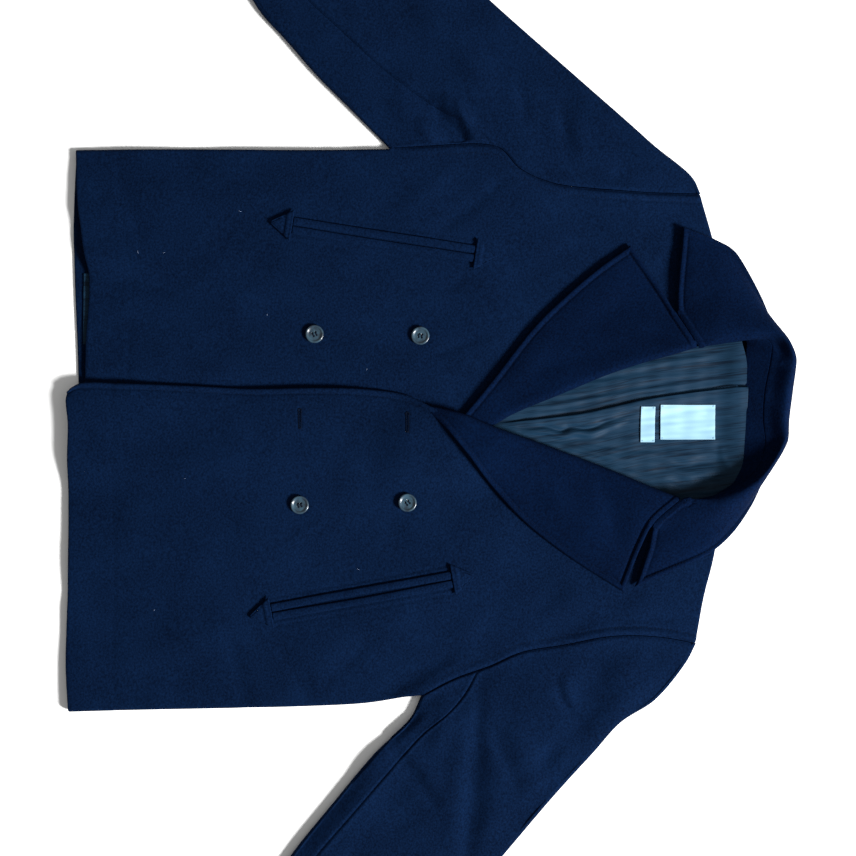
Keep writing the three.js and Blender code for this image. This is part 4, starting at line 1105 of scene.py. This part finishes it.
def lining_top(x, y):
    """Height of the neck lining, with its pleat, its crumples and a little slack."""
    share = np.clip((y - PLEAT[0][1]) / (PLEAT[-1][1] - PLEAT[0][1]), 0, 1)
    beside = x - smooth_path(PLEAT)(share)[..., 0]
    pleat = 3.4 * smoothstep((beside + 0.7) / 1.4) * (1 - smoothstep((beside - 2) / 26)) \
        - 0.8 * np.exp(-((beside + 1.6) / 1.6) ** 2)
    to_stand = 4.4 * smoothstep((y - 714) / 28)
    slack = fold_height(LINING_FOLDS, x, y) + waves(x, y, 31, 34, 0.35) + waves(x * 4.2, y * 0.6, 36, 22, 0.24)
    height = 1.9 + to_stand + pleat * smoothstep(6 * share) + slack * (1 - smoothstep((y - 722) / 18))
    return LINING_TOP + np.logaddexp(0, 3 * height) / 3


def lining_face(step):
    """Neck lining with a column of points down its pleat, and its places across and along in mm."""
    left, right, pleat = smooth_path(LINING_LEFT), smooth_path(LINING_RIGHT), smooth_path(
        [(2, 436)] + PLEAT)
    v = spaced(300, step, "cut", "cut")[0] / 300
    halves = []
    for start, end, kinds in ((left, pleat, ("cut", "cut")), (pleat, right, ("cut", "cut"))):
        width = np.linalg.norm(end(v) - start(v), axis=1)
        share = spaced(width, step, *kinds) / width[:, None]
        halves.append(start(v)[:, None] * (1 - share[..., None]) + end(v)[:, None] * share[..., None])
    plan = np.concatenate([halves[0], halves[1][:, 1:]], axis=1)
    # The straight upper ends are bent out to the neck seam over the last third
    neck = smooth_path(LINING_NECK)(np.linspace(0, 1, 60))
    seam_y = np.interp(plan[-1, :, 0], neck[:, 0], neck[:, 1])
    plan[..., 1] += (seam_y - plan[-1, :, 1])[None, :] * smoothstep((v[:, None] - 0.66) / 0.34)
    x, y = plan[..., 0], plan[..., 1]
    beside = x - pleat(v)[:, None, 0]
    place = np.stack([beside + 400, np.broadcast_to((v * 300)[:, None], x.shape)], -1)
    return np.stack([x, y, lining_top(x, y)], -1), place


def strip_face(corners, step, height_at):
    """Flat four-cornered piece laid on a height rule; corners run round from the low left one."""
    a, b, c, d = (np.array(corner, float) for corner in corners)
    v = spaced(np.linalg.norm(d - a), step, "cut", "cut")[0] / np.linalg.norm(d - a)
    u = spaced(np.linalg.norm(b - a), step, "cut", "cut")[0] / np.linalg.norm(b - a)
    wide, tall = u[None, :, None], v[:, None, None]
    plan = (a * (1 - wide) + b * wide) * (1 - tall) + (d * (1 - wide) + c * wide) * tall
    x, y = plan[..., 0], plan[..., 1]
    return np.stack([x, y, height_at(x, y)], -1), np.stack([x + 400, y], -1)


# Small parts

def jet_face(side, sideways, step, opening):
    """One jet of a pocket, a rounded welt beside the slit; the slit gapes a little in its middle."""
    length = pocket_place(side, 0.0, 0.0)[2]
    a = spaced(length, step, "cut", "cut")[0]
    b = spaced(JET_WIDTH, 0.9, "cut", "cut")[0] / JET_WIDTH
    share = a / length
    gape = opening * np.sin(math.pi * share) ** 1.5
    along = np.broadcast_to(a[:, None], (len(a), len(b)))
    start = (0.4 + gape)[:, None]
    across = sideways * (start + b[None, :] * (JET_WIDTH - gape[:, None]))
    x, y = pocket_point(side, along, across)
    welt = 0.9 * np.sin(math.pi * np.clip(b, 0.02, 0.98)) ** 0.6
    z = front_top(side, x, y) + 0.3 + JET_HEIGHT + welt[None, :]
    return np.stack([x, y, z], -1)


def arrow_face(side, end):
    """Arrowhead at one end of a pocket: a stitched bar, then a stitched triangle."""
    length = pocket_place(side, 0.0, 0.0)[2]
    base, outward = (-0.8, -1) if end == 0 else (length + 0.8, 1)
    v = spaced(ARROW_LENGTH, 0.8, "cut", "cut")[0] / ARROW_LENGTH
    u = 2 * spaced(ARROW_WIDTH, 1.0, "cut", "cut")[0] / ARROW_WIDTH - 1
    half = (ARROW_WIDTH / 2) * (1 - v) + 1.5 * v
    across = half[:, None] * u[None, :]
    deep = ARROW_LENGTH * np.broadcast_to(v[:, None], across.shape)
    x, y = pocket_point(side, base + outward * deep, across)
    z = front_top(side, x, y) + 0.3 + JET_HEIGHT
    rim = half[:, None] - np.abs(across)
    full = 0.7 * smoothstep(rim / 2.5)
    lines = -1.0 * np.exp(-((deep - 2.2) / 0.8) ** 2) - 1.1 * np.exp(-((deep - 8.2) / 0.9) ** 2) \
        - 0.8 * np.exp(-((rim - 2.2) / 0.9) ** 2) * (deep > 8.2)
    return np.stack([x, y, z + full + lines * 0.8], -1)


def button_form(turn):
    """Four-hole button with a turned rim, its holes sunk; points about its middle and triangles."""
    across = np.concatenate([np.linspace(0.15, 4.2, 28), [4.8, 5.6, 6.3, 6.9, 7.3, 7.7, 8.1, 8.5, 8.9, 9.3, 9.65,
                             9.88, 10.0, 10.0, 9.8, 9.3, 8.4, 6.0, 0.2]])
    level = np.concatenate([np.full(28, 0.3), [0.31, 0.36, 0.43, 0.55, 0.85, 1.3, 1.58, 1.7, 1.7, 1.6, 1.38, 1.05,
                            0.6, -0.2, -0.8, -1.3, -1.66, -1.7, -1.7]])
    angle = np.linspace(0, 2 * math.pi, 73)[:-1]
    x, y = across[:, None] * np.cos(angle), across[:, None] * np.sin(angle)
    z = np.broadcast_to(level[:, None], x.shape).copy()
    for sx, sy in ((-1.7, -1.7), (1.7, -1.7), (1.7, 1.7), (-1.7, 1.7)):
        hole = smoothstep((1.2 - np.hypot(x - sx, y - sy)) / 0.3)
        z[:30] -= 1.7 * hole[:30]
    points = np.stack([x * math.cos(turn) - y * math.sin(turn), x * math.sin(turn) + y * math.cos(turn), z], -1)
    index = np.arange(x.size).reshape(x.shape)
    closed = np.hstack([index, index[:, :1]])
    first, last = x.size, x.size + 1
    caps = [np.stack([np.full(72, first), closed[0, :-1], closed[0, 1:]], -1),
            np.stack([np.full(72, last), closed[-1, 1:], closed[-1, :-1]], -1)]
    points = np.concatenate([points.reshape(-1, 3), [[0, 0, 0.3], [0, 0, -1.7]]])
    triangles = np.concatenate([grid_triangles(closed), *caps])
    return points, facing_out(points, triangles)


def button_height(side, x, y):
    """Middle height of a button on the highest place of the front under it."""
    turns = np.linspace(0, 2 * math.pi, 9)
    return float(front_top(side, x + 12 * np.cos(turns), y + 12 * np.sin(turns)).max()) + 0.3 + BUTTON_HEIGHT / 2


def crossing_threads(turn):
    """Threads that run from hole to hole over a button in two bars, as short arcs about its middle."""
    paths = []
    for angle, bar in ((0.0, -1.7), (0.0, 1.7)):
        for aside in (bar - 0.36, bar, bar + 0.36):
            along = np.linspace(-2.0, 2.0, 9)
            lift = 0.35 + 0.5 * np.cos(along / 2.1 * math.pi / 2) - 1.0 * smoothstep((np.abs(along) - 1.5) / 0.5)
            dx, dy = math.cos(angle + turn), math.sin(angle + turn)
            paths.append(np.stack([along * dx - aside * dy, along * dy + aside * dx, lift], -1))
    return paths


def buttonhole_threads(eye, end, y):
    """Worked keyhole: close bars round an eye, down both sides of the slit, and a bar tack."""
    bars = []
    for x in np.arange(eye + 3.4, end, 0.72):
        bars += [((x, y + s * 0.5), (x + 0.1, y + s * 2.0)) for s in (-1, 1)]
    for angle in np.arange(0.62, 2 * math.pi - 0.6, 0.33):
        dx, dy = math.cos(angle), math.sin(angle)
        bars.append(((eye + 2.0 + 1.0 * dx, y + 1.0 * dy), (eye + 2.0 + 2.7 * dx, y + 2.7 * dy)))
    for x in (end + 0.1, end + 0.7, end + 1.3):
        bars.append(((x, y - 2.0), (x, y + 2.0)))
    paths = []
    for (x0, y0), (x1, y1) in bars:
        share = np.array([0.0, 0.5, 1.0])
        x, yy = x0 + (x1 - x0) * share, y0 + (y1 - y0) * share
        z = front_top("left", x, yy) + np.array([-0.1, 0.75, 0.15])
        paths.append(np.stack([x, yy, z], -1))
    return paths


STITCH_LENGTH = 2.7
STITCH_PITCH = 3.4


def stitches_on(line):
    """Single stitches along a line of surface points, each sunk at its ends."""
    length = np.concatenate([[0], np.cumsum(np.linalg.norm(np.diff(line, axis=0), axis=1))])
    paths = []
    for start in np.arange(1.5, length[-1] - STITCH_LENGTH, STITCH_PITCH):
        at = start + STITCH_LENGTH * np.array([0.0, 0.5, 1.0])
        path = np.stack([np.interp(at, length, line[:, axis]) for axis in range(3)], -1)
        path[:, 2] += [-0.28, 0.04, -0.28]
        paths.append(path)
    return paths


def seam_lines():
    """Lines of topstitching on the cloth: front edges, lapels, collar, armholes and pocket frames."""
    lines = []
    for side in ("right", "left"):
        outer, _ = SURFACES[f"{side}_front"]
        rows = np.searchsorted(outer[:, -1, 1], 398 if side == "left" else 380)
        lines.append(outer[STITCH_LINE:rows, -1 - STITCH_LINE])
        lines.append(outer[int(outer.shape[0] * 0.55):-8, len(STEPS["seam"])])
        outer, _ = SURFACES[f"{side}_lapel"]
        lines.append(outer[8:-STITCH_LINE, -1 - STITCH_LINE])
        lines.append(outer[-1 - STITCH_LINE, 12:-STITCH_LINE])
        for sideways in (-1, 1):
            along = np.linspace(0, pocket_place(side, 0.0, 0.0)[2], 90)
            x, y = pocket_point(side, along, np.full(90, sideways * FRAME_STITCH))
            lines.append(np.stack([x, y, front_surface(side, x, y)], -1))
    leaf, _ = SURFACES["collar_leaf"]
    lines.append(leaf[STITCH_LINE:-STITCH_LINE, -1 - STITCH_LINE])
    middle = leaf.shape[1] // 3
    lines += [leaf[STITCH_LINE, middle:-STITCH_LINE], leaf[-1 - STITCH_LINE, middle:-STITCH_LINE]]
    return lines


def nap_fibres(count, seed):
    """Loose wool fibres that stand off the cloth, spread over its faces: thin closed spikes."""
    rng = np.random.default_rng(seed)
    names = [name for name in SURFACES if not name.startswith(("neck", "hem", "large", "small", "back"))]
    areas = [np.linalg.norm(np.diff(SURFACES[n][0], axis=0)[:, :-1], axis=-1).sum() for n in names]
    shares = np.array(areas) / sum(areas)
    roots, ups = [], []
    for name, share in zip(names, shares):
        outer, normal = SURFACES[name]
        rows, columns = outer.shape[:2]
        amount = int(count * share)
        i, j = rng.integers(0, rows - 1, amount), rng.integers(0, columns - 1, amount)
        mix = rng.random((amount, 1))
        roots.append(outer[i, j] * (1 - mix) + outer[i + 1, j + 1] * mix)
        ups.append(normal[i, j])
    roots, ups = np.concatenate(roots), np.concatenate(ups)
    lean = rng.normal(size=roots.shape)
    lean -= ups * np.einsum("ij,ij->i", lean, ups)[:, None]
    lean /= np.linalg.norm(lean, axis=1, keepdims=True)
    rise = rng.uniform(0.15, 0.6, (len(roots), 1))
    along = lean + ups * rise
    along /= np.linalg.norm(along, axis=1, keepdims=True)
    tips = roots + along * rng.uniform(0.9, 2.3, (len(roots), 1))
    tips[:, 2] = np.maximum(tips[:, 2], 0.1)
    return spikes(roots, tips, ups, 0.055)


def spikes(roots, tips, ups, radius):
    """Closed three-sided spikes from roots to tips."""
    along = tips - roots
    aside = np.cross(along, ups)
    aside /= np.maximum(np.linalg.norm(aside, axis=1, keepdims=True), 1e-9)
    low = np.cross(aside, along)
    low /= np.maximum(np.linalg.norm(low, axis=1, keepdims=True), 1e-9)
    corners = [roots + aside * radius, roots - aside * radius, roots + low * radius * 1.5, tips]
    points = np.stack(corners, 1).reshape(-1, 3)
    first = 4 * np.arange(len(roots))[:, None]
    faces = [[0, 1, 2], [0, 3, 1], [1, 3, 2], [2, 3, 0]]
    triangles = np.concatenate([first + face for face in faces])
    return points, facing_out(points, triangles)


def lint_paths():
    """Pale lint on the right front and left sleeve, each a short bent fibre: x, y, length, turn."""
    table = [("right", -189, 78, 3.2, 0.4), ("right", -234, 190, 3.6, 1.1), ("right", -188, 107, 2.4, 2.0),
             ("right", -120, 220, 2.6, 0.2), ("left", 60, 130, 2.2, 1.6), ("left", 160, 320, 2.8, 0.9),
             ("left", 205, 96, 2.0, 2.4), ("right", -60, 330, 2.0, 2.7)]
    paths = []
    for side, x, y, length, turn in table:
        along = np.linspace(-0.5, 0.5, 7)
        px = x + length * along * math.cos(turn) - 0.9 * (along ** 2) * length * math.sin(turn)
        py = y + length * along * math.sin(turn) + 0.9 * (along ** 2) * length * math.cos(turn)
        paths.append(np.stack([px, py, front_top(side, px, py) + 0.45 + 0.3 * np.cos(6 * along)], -1))
    return paths


# Settings

def length_setting(name, description, default_mm):
    """A length property in metres from its default in mm."""
    return bpy.props.FloatProperty(name=name, description=description, default=default_mm * MM,
                                   min=0.0, unit="LENGTH", subtype="DISTANCE", precision=5)


def colour_setting(name, description, code):
    """A colour property from an sRGB hex code."""
    return bpy.props.FloatVectorProperty(name=name, description=description, default=linear(code), size=3,
                                         min=0.0, max=1.0, subtype="COLOR")


class CoatSizes(bpy.types.PropertyGroup):
    """Sizes of the cloth, its grids and its sewing."""
    wool: length_setting("Wool", "Thickness of one layer of melton", 2.2)
    double_wool: length_setting("Double wool", "Thickness of lapel and collar, sewn of two layers", 4.4)
    sleeve: length_setting("Sleeve cloth", "Thickness of the sleeve's wool with its lining", 2.9)
    lining: length_setting("Lining", "Thickness of the lining with its seam allowances", 1.0)
    label: length_setting("Label", "Thickness of a folded woven label", 1.0)
    panel_step: length_setting("Panel step", "Grid spacing on the large panels", 2.3)
    small_step: length_setting("Small step", "Grid spacing on lapels, collar and sleeves", 2.0)
    thread: length_setting("Thread", "Radius of the sewing thread", 0.32)


class CoatColours(bpy.types.PropertyGroup):
    """Colours of the coat and its ground."""
    wool: colour_setting("Wool", "Navy melton in even light", "#031029")
    # The deep and lit wool colours are the ends of one ramp: partly the wool's own uneven tone, partly painted shade
    # between the tufts and painted light on them
    wool_deep: colour_setting("Wool, deep", "Navy between the tufts", "#01081a")
    wool_lit: colour_setting("Wool, lit", "Navy on brushed tufts", "#061935")
    wool_bloom: colour_setting("Wool bloom", "Tint of the nap at grazing angles", "#204a84")
    lining: colour_setting("Lining", "Slate lining, pale streak", "#0f283c")
    lining_deep: colour_setting("Lining, deep", "Slate lining, dark streak", "#051423")
    label: colour_setting("Label", "Pale blue-white label", "#84abc0")
    button: colour_setting("Button", "Blue-grey resin", "#27404f")
    button_deep: colour_setting("Button, deep", "Dark streaks in the resin", "#15232f")
    thread: colour_setting("Thread", "Navy sewing thread", "#020a1a")
    lint: colour_setting("Lint", "Pale lint", "#7f93b4")
    floor: colour_setting("Floor", "Studio ground", "#f9f9f8")


# Flat cut of each piece of cloth: width and length of its rectangle, and its area, in metres
CUTS = {
    "back": (0.640, 0.760, 0.412),
    "right_front": (0.350, 0.745, 0.202),
    "left_front": (0.380, 0.735, 0.207),
    "right_lapel": (0.160, 0.330, 0.0236),
    "left_lapel": (0.130, 0.300, 0.0227),
    "collar_leaf": (0.140, 0.560, 0.0325),
    "collar_stand": (0.026, 0.300, 0.0062),
    "right_top_sleeve": (0.230, 0.590, 0.0865),
    "left_top_sleeve": (0.250, 0.620, 0.102),
    "right_under_sleeve": (0.270, 0.500, 0.0915),
    "left_under_sleeve": (0.270, 0.520, 0.0845),
    "neck_lining": (0.175, 0.305, 0.0372),
    "hem_lining": (0.080, 0.045, 0.0035),
    "large_label": (0.038, 0.060, 0.0022),
    "small_label": (0.039, 0.0155, 0.0006),
    "right_jet_inner": (0.0115, 0.201, 0.0019),
    "right_jet_outer": (0.0115, 0.201, 0.0019),
    "left_jet_inner": (0.0115, 0.200, 0.0019),
    "left_jet_outer": (0.0115, 0.200, 0.0019),
    "right_arrow_lower": (0.035, 0.024, 0.00046),
    "right_arrow_upper": (0.035, 0.024, 0.00046),
    "left_arrow_lower": (0.035, 0.024, 0.00046),
    "left_arrow_upper": (0.035, 0.024, 0.00046),
}
RESTS = {
    "right_front": ["back"], "left_front": ["right_front"], "right_lapel": ["right_front"],
    "left_lapel": ["left_front"], "collar_leaf": ["right_lapel", "left_lapel"], "collar_stand": ["back"],
    "neck_lining": ["back"], "hem_lining": ["back"], "large_label": ["neck_lining"],
    "small_label": ["neck_lining"],
}


def cloth_piece(node, face, thickness, facing, material, soft_sides, uv=None, free=1.0):
    """Cloth in place of a node: its wall, with the node's own part hidden; its cut and what it lies on are looked up
    and not used.
    """
    obj = cloth_wall(node, face, thickness, facing, material, soft_sides, uv, free)
    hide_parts(node)
    width, length, area = CUTS[node]
    [f"{under}_cloth" for under in RESTS.get(node, [])]
    return obj


def material_named(name, build):
    """The material kept under a name for all pieces, made at its first use."""
    if name not in MATERIALS:
        MATERIALS[name] = build()
    return MATERIALS[name]


MATERIALS = {}


class PieceOperator:
    """What the operators share: settings, materials, and a plain failure if the frame isn't loaded."""
    bl_options = {"REGISTER"}

    def execute(self, context):
        if "back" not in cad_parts:
            raise RuntimeError("the frame has no back: load the packed coat first")
        colours = context.scene.coat_colours
        self.wool = material_named("wool", lambda: wool_material(
            "melton_wool_fulled_and_brushed", (1, 1, 1), colours))
        # Painted shade: lapels and collar are made of a darker copy of the wool, which stands in for the shade on them
        self.shaded_facing_wool = material_named("facing wool, painted shade", lambda: wool_material(
            "melton_wool_painted_shade", (0.35, 0.62, 0.74), colours))
        self.thread = material_named("thread", lambda: thread_material(
            "polyester_thread_spun_navy", colours.thread))
        self.build(context.scene.coat_sizes, colours)
        return {"FINISHED"}


class COAT_OT_back(PieceOperator, bpy.types.Operator):
    """Back panel, flat on the floor"""
    bl_idname = "coat.back"
    bl_label = "Back"

    def build(self, sizes, colours):
        cloth_piece("back", back_face(4.5), sizes.wool / MM, -1, self.wool, ["bottom"])


class COAT_OT_fronts(PieceOperator, bpy.types.Operator):
    """Both front panels, the left one on top"""
    bl_idname = "coat.fronts"
    bl_label = "Fronts"

    def build(self, sizes, colours):
        for side, facing in (("right", 1), ("left", -1)):
            face = front_face(side, sizes.panel_step / MM)
            cloth_piece(f"{side}_front", face, sizes.wool / MM, facing, self.wool,
                        ["right", "bottom"])


class COAT_OT_lapels(PieceOperator, bpy.types.Operator):
    """Both lapels, rolled at their folds"""
    bl_idname = "coat.lapels"
    bl_label = "Lapels"

    def build(self, sizes, colours):
        for side, facing in (("right", -1), ("left", 1)):
            face, rise, free = lapel_face(side, sizes.small_step / MM)
            thickness = sizes.double_wool / MM * (0.3 + 0.7 * rise)
            # The lapels take the darker copy of the wool: painted shade
            cloth_piece(f"{side}_lapel", face, thickness, facing, self.shaded_facing_wool,
                        ["right", "top", "bottom"], free=free)


class COAT_OT_collar(PieceOperator, bpy.types.Operator):
    """Collar stand and collar leaf"""
    bl_idname = "coat.collar"
    bl_label = "Collar"

    def build(self, sizes, colours):
        grid = collar_grid()
        double = sizes.double_wool / MM
        # The stand's edge laps a hair over the leaf's, which is drawn in by the seam, so no light gets through
        stand = collar_part(grid, 0.0, STAND_SHARE + 0.005, ("cut", "cut"), sizes.small_step / MM)
        # Stand and leaf take the darker copy of the wool: painted shade
        cloth_piece("collar_stand", stand, double, -1, self.shaded_facing_wool, [])
        leaf = collar_part(grid, STAND_SHARE, 1.0, ("seam", "edge"), sizes.small_step / MM)
        normal = grid_normals(leaf, -1)
        x, y = leaf[..., 0], leaf[..., 1]
        free = gorge_relief("right", x, y)[1] * gorge_relief("left", x, y)[1]
        pressed = gorge_relief("right", x, y)[0] + gorge_relief("left", x, y)[0]
        relief = stitched_edge(edge_distance(leaf, ["right", "bottom", "top"]), 0.8) * free + pressed
        relief += fold_height(COLLAR_FOLDS, x, y) * smoothstep(normal[..., 2])
        relief -= 0.9 * np.exp(-(edge_distance(leaf, ["left"]) / 1.5) ** 2)
        cloth_piece("collar_leaf", leaf + normal * relief[..., None], double, -1, self.shaded_facing_wool,
                    ["right", "bottom", "top"], free=free)


class COAT_OT_sleeves(PieceOperator, bpy.types.Operator):
    """Both two-piece sleeves"""
    bl_idname = "coat.sleeves"
    bl_label = "Sleeves"

    def build(self, sizes, colours):
        for side, facing in (("right", -1), ("left", 1)):
            for half in ("top", "under"):
                face = sleeve_face(side, half, sizes.panel_step / MM)
                cloth_piece(f"{side}_{half}_sleeve", face, sizes.sleeve / MM, facing, self.wool,
                            ["top"])


class COAT_OT_lining(PieceOperator, bpy.types.Operator):
    """Striped lining inside the neck and by the hem"""
    bl_idname = "coat.lining"
    bl_label = "Lining"

    def build(self, sizes, colours):
        lining = material_named("lining", lambda: lining_material(colours))
        face, place = lining_face(1.6)
        cloth_piece("neck_lining", face, sizes.lining / MM, 1, lining, [], place)
        corners = [(-166, 17.5), (-88, 16.5), (-88, 60), (-166, 60)]
        face, place = strip_face(corners, 2.0, lambda x, y: LINING_TOP + waves(x, y, 33, 30, 0.25))
        cloth_piece("hem_lining", face, sizes.lining / MM, 1, lining, [], place)


class COAT_OT_labels(PieceOperator, bpy.types.Operator):
    """Two blank woven labels on the lining"""
    bl_idname = "coat.labels"
    bl_label = "Labels"

    def build(self, sizes, colours):
        satin = material_named("label", lambda: label_material(colours))
        large = [(-21, 653), (17, 653), (17, 713), (-21, 713)]
        small = [(-19, 631.5), (20, 631), (20, 646.5), (-19, 647)]
        for node, corners in (("large_label", large), ("small_label", small)):
            face, _ = strip_face(corners, 1.5, lambda x, y: lining_top(x, y) + 0.5 + sizes.label / MM)
            cloth_piece(node, face, sizes.label / MM, 1, satin, [])
        tacks = []
        for x, y in ((-19.5, 711), (15.5, 711), (-19.5, 655), (15.5, 655), (-17.5, 645), (18.5, 645),
                     (-17.5, 633), (18.5, 633)):
            for k in (-0.7, 0, 0.7):
                path = np.array([[x - 1.2, y + k, 0], [x, y + k, 0], [x + 1.2, y + k, 0]])
                path[:, 2] = lining_top(path[:, 0], path[:, 1]) + 1.5 + np.array([-0.1, 0.25, -0.1])
                tacks.append(path)
        points, triangles = rods(tacks, 0.14)
        add_mesh("label_tacks", points, triangles, satin)


class COAT_OT_pockets(PieceOperator, bpy.types.Operator):
    """Jets and arrowheads of both front pockets"""
    bl_idname = "coat.pockets"
    bl_label = "Pockets"

    def build(self, sizes, colours):
        for side in ("right", "left"):
            opening = 1.3 if side == "left" else 0.4
            for name, sideways, facing in (("inner", -1, 1), ("outer", 1, -1)):
                face = jet_face(side, sideways, 2.0, opening)
                cloth_piece(f"{side}_jet_{name}", face, JET_HEIGHT, facing, self.wool,
                            ["left", "right"])
            for name, end in (("lower", 0), ("upper", 1)):
                cloth_piece(f"{side}_arrow_{name}", arrow_face(side, end), JET_HEIGHT, 1 if end else -1,
                            self.wool, ["left", "right", "top", "bottom"])


class COAT_OT_buttons(PieceOperator, bpy.types.Operator):
    """Four sewn-on buttons with their threads"""
    bl_idname = "coat.buttons"
    bl_label = "Buttons"

    def build(self, sizes, colours):
        resin = material_named("resin", lambda: button_material(colours))
        paths = []
        for node, x, y, side, turn in BUTTONS:
            points, triangles = button_form(turn)
            middle = np.array([x, y, button_height(side, x, y)])
            obj = add_mesh(f"{node}_disc", points + middle, triangles, resin)
            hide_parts(node)
            paths += [path + middle for path in crossing_threads(turn)]
        points, triangles = rods(paths, sizes.thread / MM, 6)
        add_mesh("button_threads", points, triangles, self.thread)


class COAT_OT_sewing(PieceOperator, bpy.types.Operator):
    """Worked buttonholes and topstitching"""
    bl_idname = "coat.sewing"
    bl_label = "Sewing"

    def build(self, sizes, colours):
        if "collar_leaf" not in SURFACES:
            raise RuntimeError("build the cloth before its sewing")
        holes = [path for eye, end, y in BUTTONHOLES for path in buttonhole_threads(eye, end, y)]
        points, triangles = rods(holes, 0.26, 5)
        add_mesh("buttonhole_threads", points, triangles, self.thread)
        stitches = [path for line in seam_lines() for path in stitches_on(line)]
        points, triangles = rods(stitches, sizes.thread / MM, 4)
        add_mesh("topstitch_threads", points, triangles, self.thread)


class COAT_OT_nap(PieceOperator, bpy.types.Operator):
    """Loose fibres of the wool's nap, and lint"""
    bl_idname = "coat.nap"
    bl_label = "Nap and lint"

    def build(self, sizes, colours):
        if "collar_leaf" not in SURFACES:
            raise RuntimeError("build the cloth before its nap")
        points, triangles = nap_fibres(14000, 41)
        add_mesh("wool_nap", points, triangles, self.wool)
        lint = material_named("lint", lambda: new_material(
            "cotton_lint_carded", colours.lint, 0.9, 1.5, Sheen_Weight=0.2)[0])
        points, triangles = rods(lint_paths(), 0.12, 5)
        add_mesh("lint", points, triangles, lint)


class COAT_OT_stage(bpy.types.Operator):
    """Pale ground, soft studio light and the camera above"""
    bl_idname = "coat.stage"
    bl_label = "Stage"

    def execute(self, context):
        colours = context.scene.coat_colours
        bpy.ops.mesh.primitive_plane_add(size=14, location=(0, 0, -0.0004))
        floor = context.object
        if floor is None:
            raise RuntimeError("the floor wasn't made")
        floor.name = "ground"
        floor.data.materials.append(floor_material(colours))
        for name, place, size, energy in (("key", (1.9, 3.8, 2.8), 1.1, 750), ("fill", (-0.4, 3.0, 3.2), 2.6, 8)):
            light = bpy.data.lights.new(name, "AREA")
            light.energy, light.size, light.shape = energy, size, "SQUARE"
            lamp = bpy.data.objects.new(name, light)
            lamp.location = place
            context.scene.collection.objects.link(lamp)
            aim = np.array([0.0, 0.0, 0.0]) - np.array(place)
            turn = math.atan2(aim[1], aim[0]) - math.pi / 2
            tilt = math.acos(-aim[2] / np.linalg.norm(aim))
            lamp.rotation_euler = (tilt, 0, turn)
        world = bpy.data.worlds.new("studio")
        world.use_nodes = True
        world.node_tree.nodes["Background"].inputs["Color"].default_value = (1, 1, 1, 1)
        world.node_tree.nodes["Background"].inputs["Strength"].default_value = 0.3
        context.scene.world = world
        context.scene.view_settings.view_transform = "Standard"
        add_camera(context.scene)
        return {"FINISHED"}


# The photo's frame in the coat's plan: side and middle in mm, and the height that it is taken from in m
VIEW_SIDE = 941.6
VIEW_MIDDLE = (4.4, 397.1)
VIEW_HEIGHT = 1.7
SENSOR = 36.0


def add_camera(scene):
    """Camera straight above, turned so that the hem is at the picture's left."""
    camera = bpy.data.cameras.new("above")
    camera.sensor_width = camera.sensor_height = SENSOR
    camera.lens = SENSOR * (VIEW_HEIGHT - BODY_HEIGHT * MM) / (VIEW_SIDE * MM)
    camera.clip_start, camera.clip_end = 0.05, 20
    camera.dof.use_dof = False
    obj = bpy.data.objects.new("above", camera)
    x, y, _ = to_frame([*VIEW_MIDDLE, 0.0])
    obj.location = (x, y, VIEW_HEIGHT)
    obj.rotation_euler = (0, 0, math.pi / 2)
    scene.collection.objects.link(obj)
    scene.camera = obj


OPERATORS = (COAT_OT_back, COAT_OT_fronts, COAT_OT_lapels, COAT_OT_collar, COAT_OT_sleeves,
             COAT_OT_lining, COAT_OT_labels, COAT_OT_pockets, COAT_OT_buttons, COAT_OT_sewing,
             COAT_OT_nap, COAT_OT_stage)


class COAT_PT_panel(bpy.types.Panel):
    """The coat's settings and pieces in the sidebar"""
    bl_idname = "COAT_PT_panel"
    bl_label = "Pea coat"
    bl_space_type = "VIEW_3D"
    bl_region_type = "UI"
    bl_category = "Pea coat"

    def draw(self, context):
        for group in (context.scene.coat_sizes, context.scene.coat_colours):
            for name in group.__annotations__:
                self.layout.prop(group, name)
        for operator in OPERATORS:
            self.layout.operator(operator.bl_idname)


CLASSES = (CoatSizes, CoatColours, *OPERATORS, COAT_PT_panel)


def register():
    """Add the classes and the scene's settings."""
    for cls in CLASSES:
        bpy.utils.register_class(cls)
    bpy.types.Scene.coat_sizes = bpy.props.PointerProperty(type=CoatSizes)
    bpy.types.Scene.coat_colours = bpy.props.PointerProperty(type=CoatColours)


def unregister():
    """Remove the scene's settings and the classes."""
    del bpy.types.Scene.coat_colours
    del bpy.types.Scene.coat_sizes
    for cls in reversed(CLASSES):
        bpy.utils.unregister_class(cls)


def main():
    """Build the coat and its stage."""
    register()
    for operator in OPERATORS:
        group, name = operator.bl_idname.split(".")
        getattr(getattr(bpy.ops, group), name)()


if __name__ == "__main__":
    main()
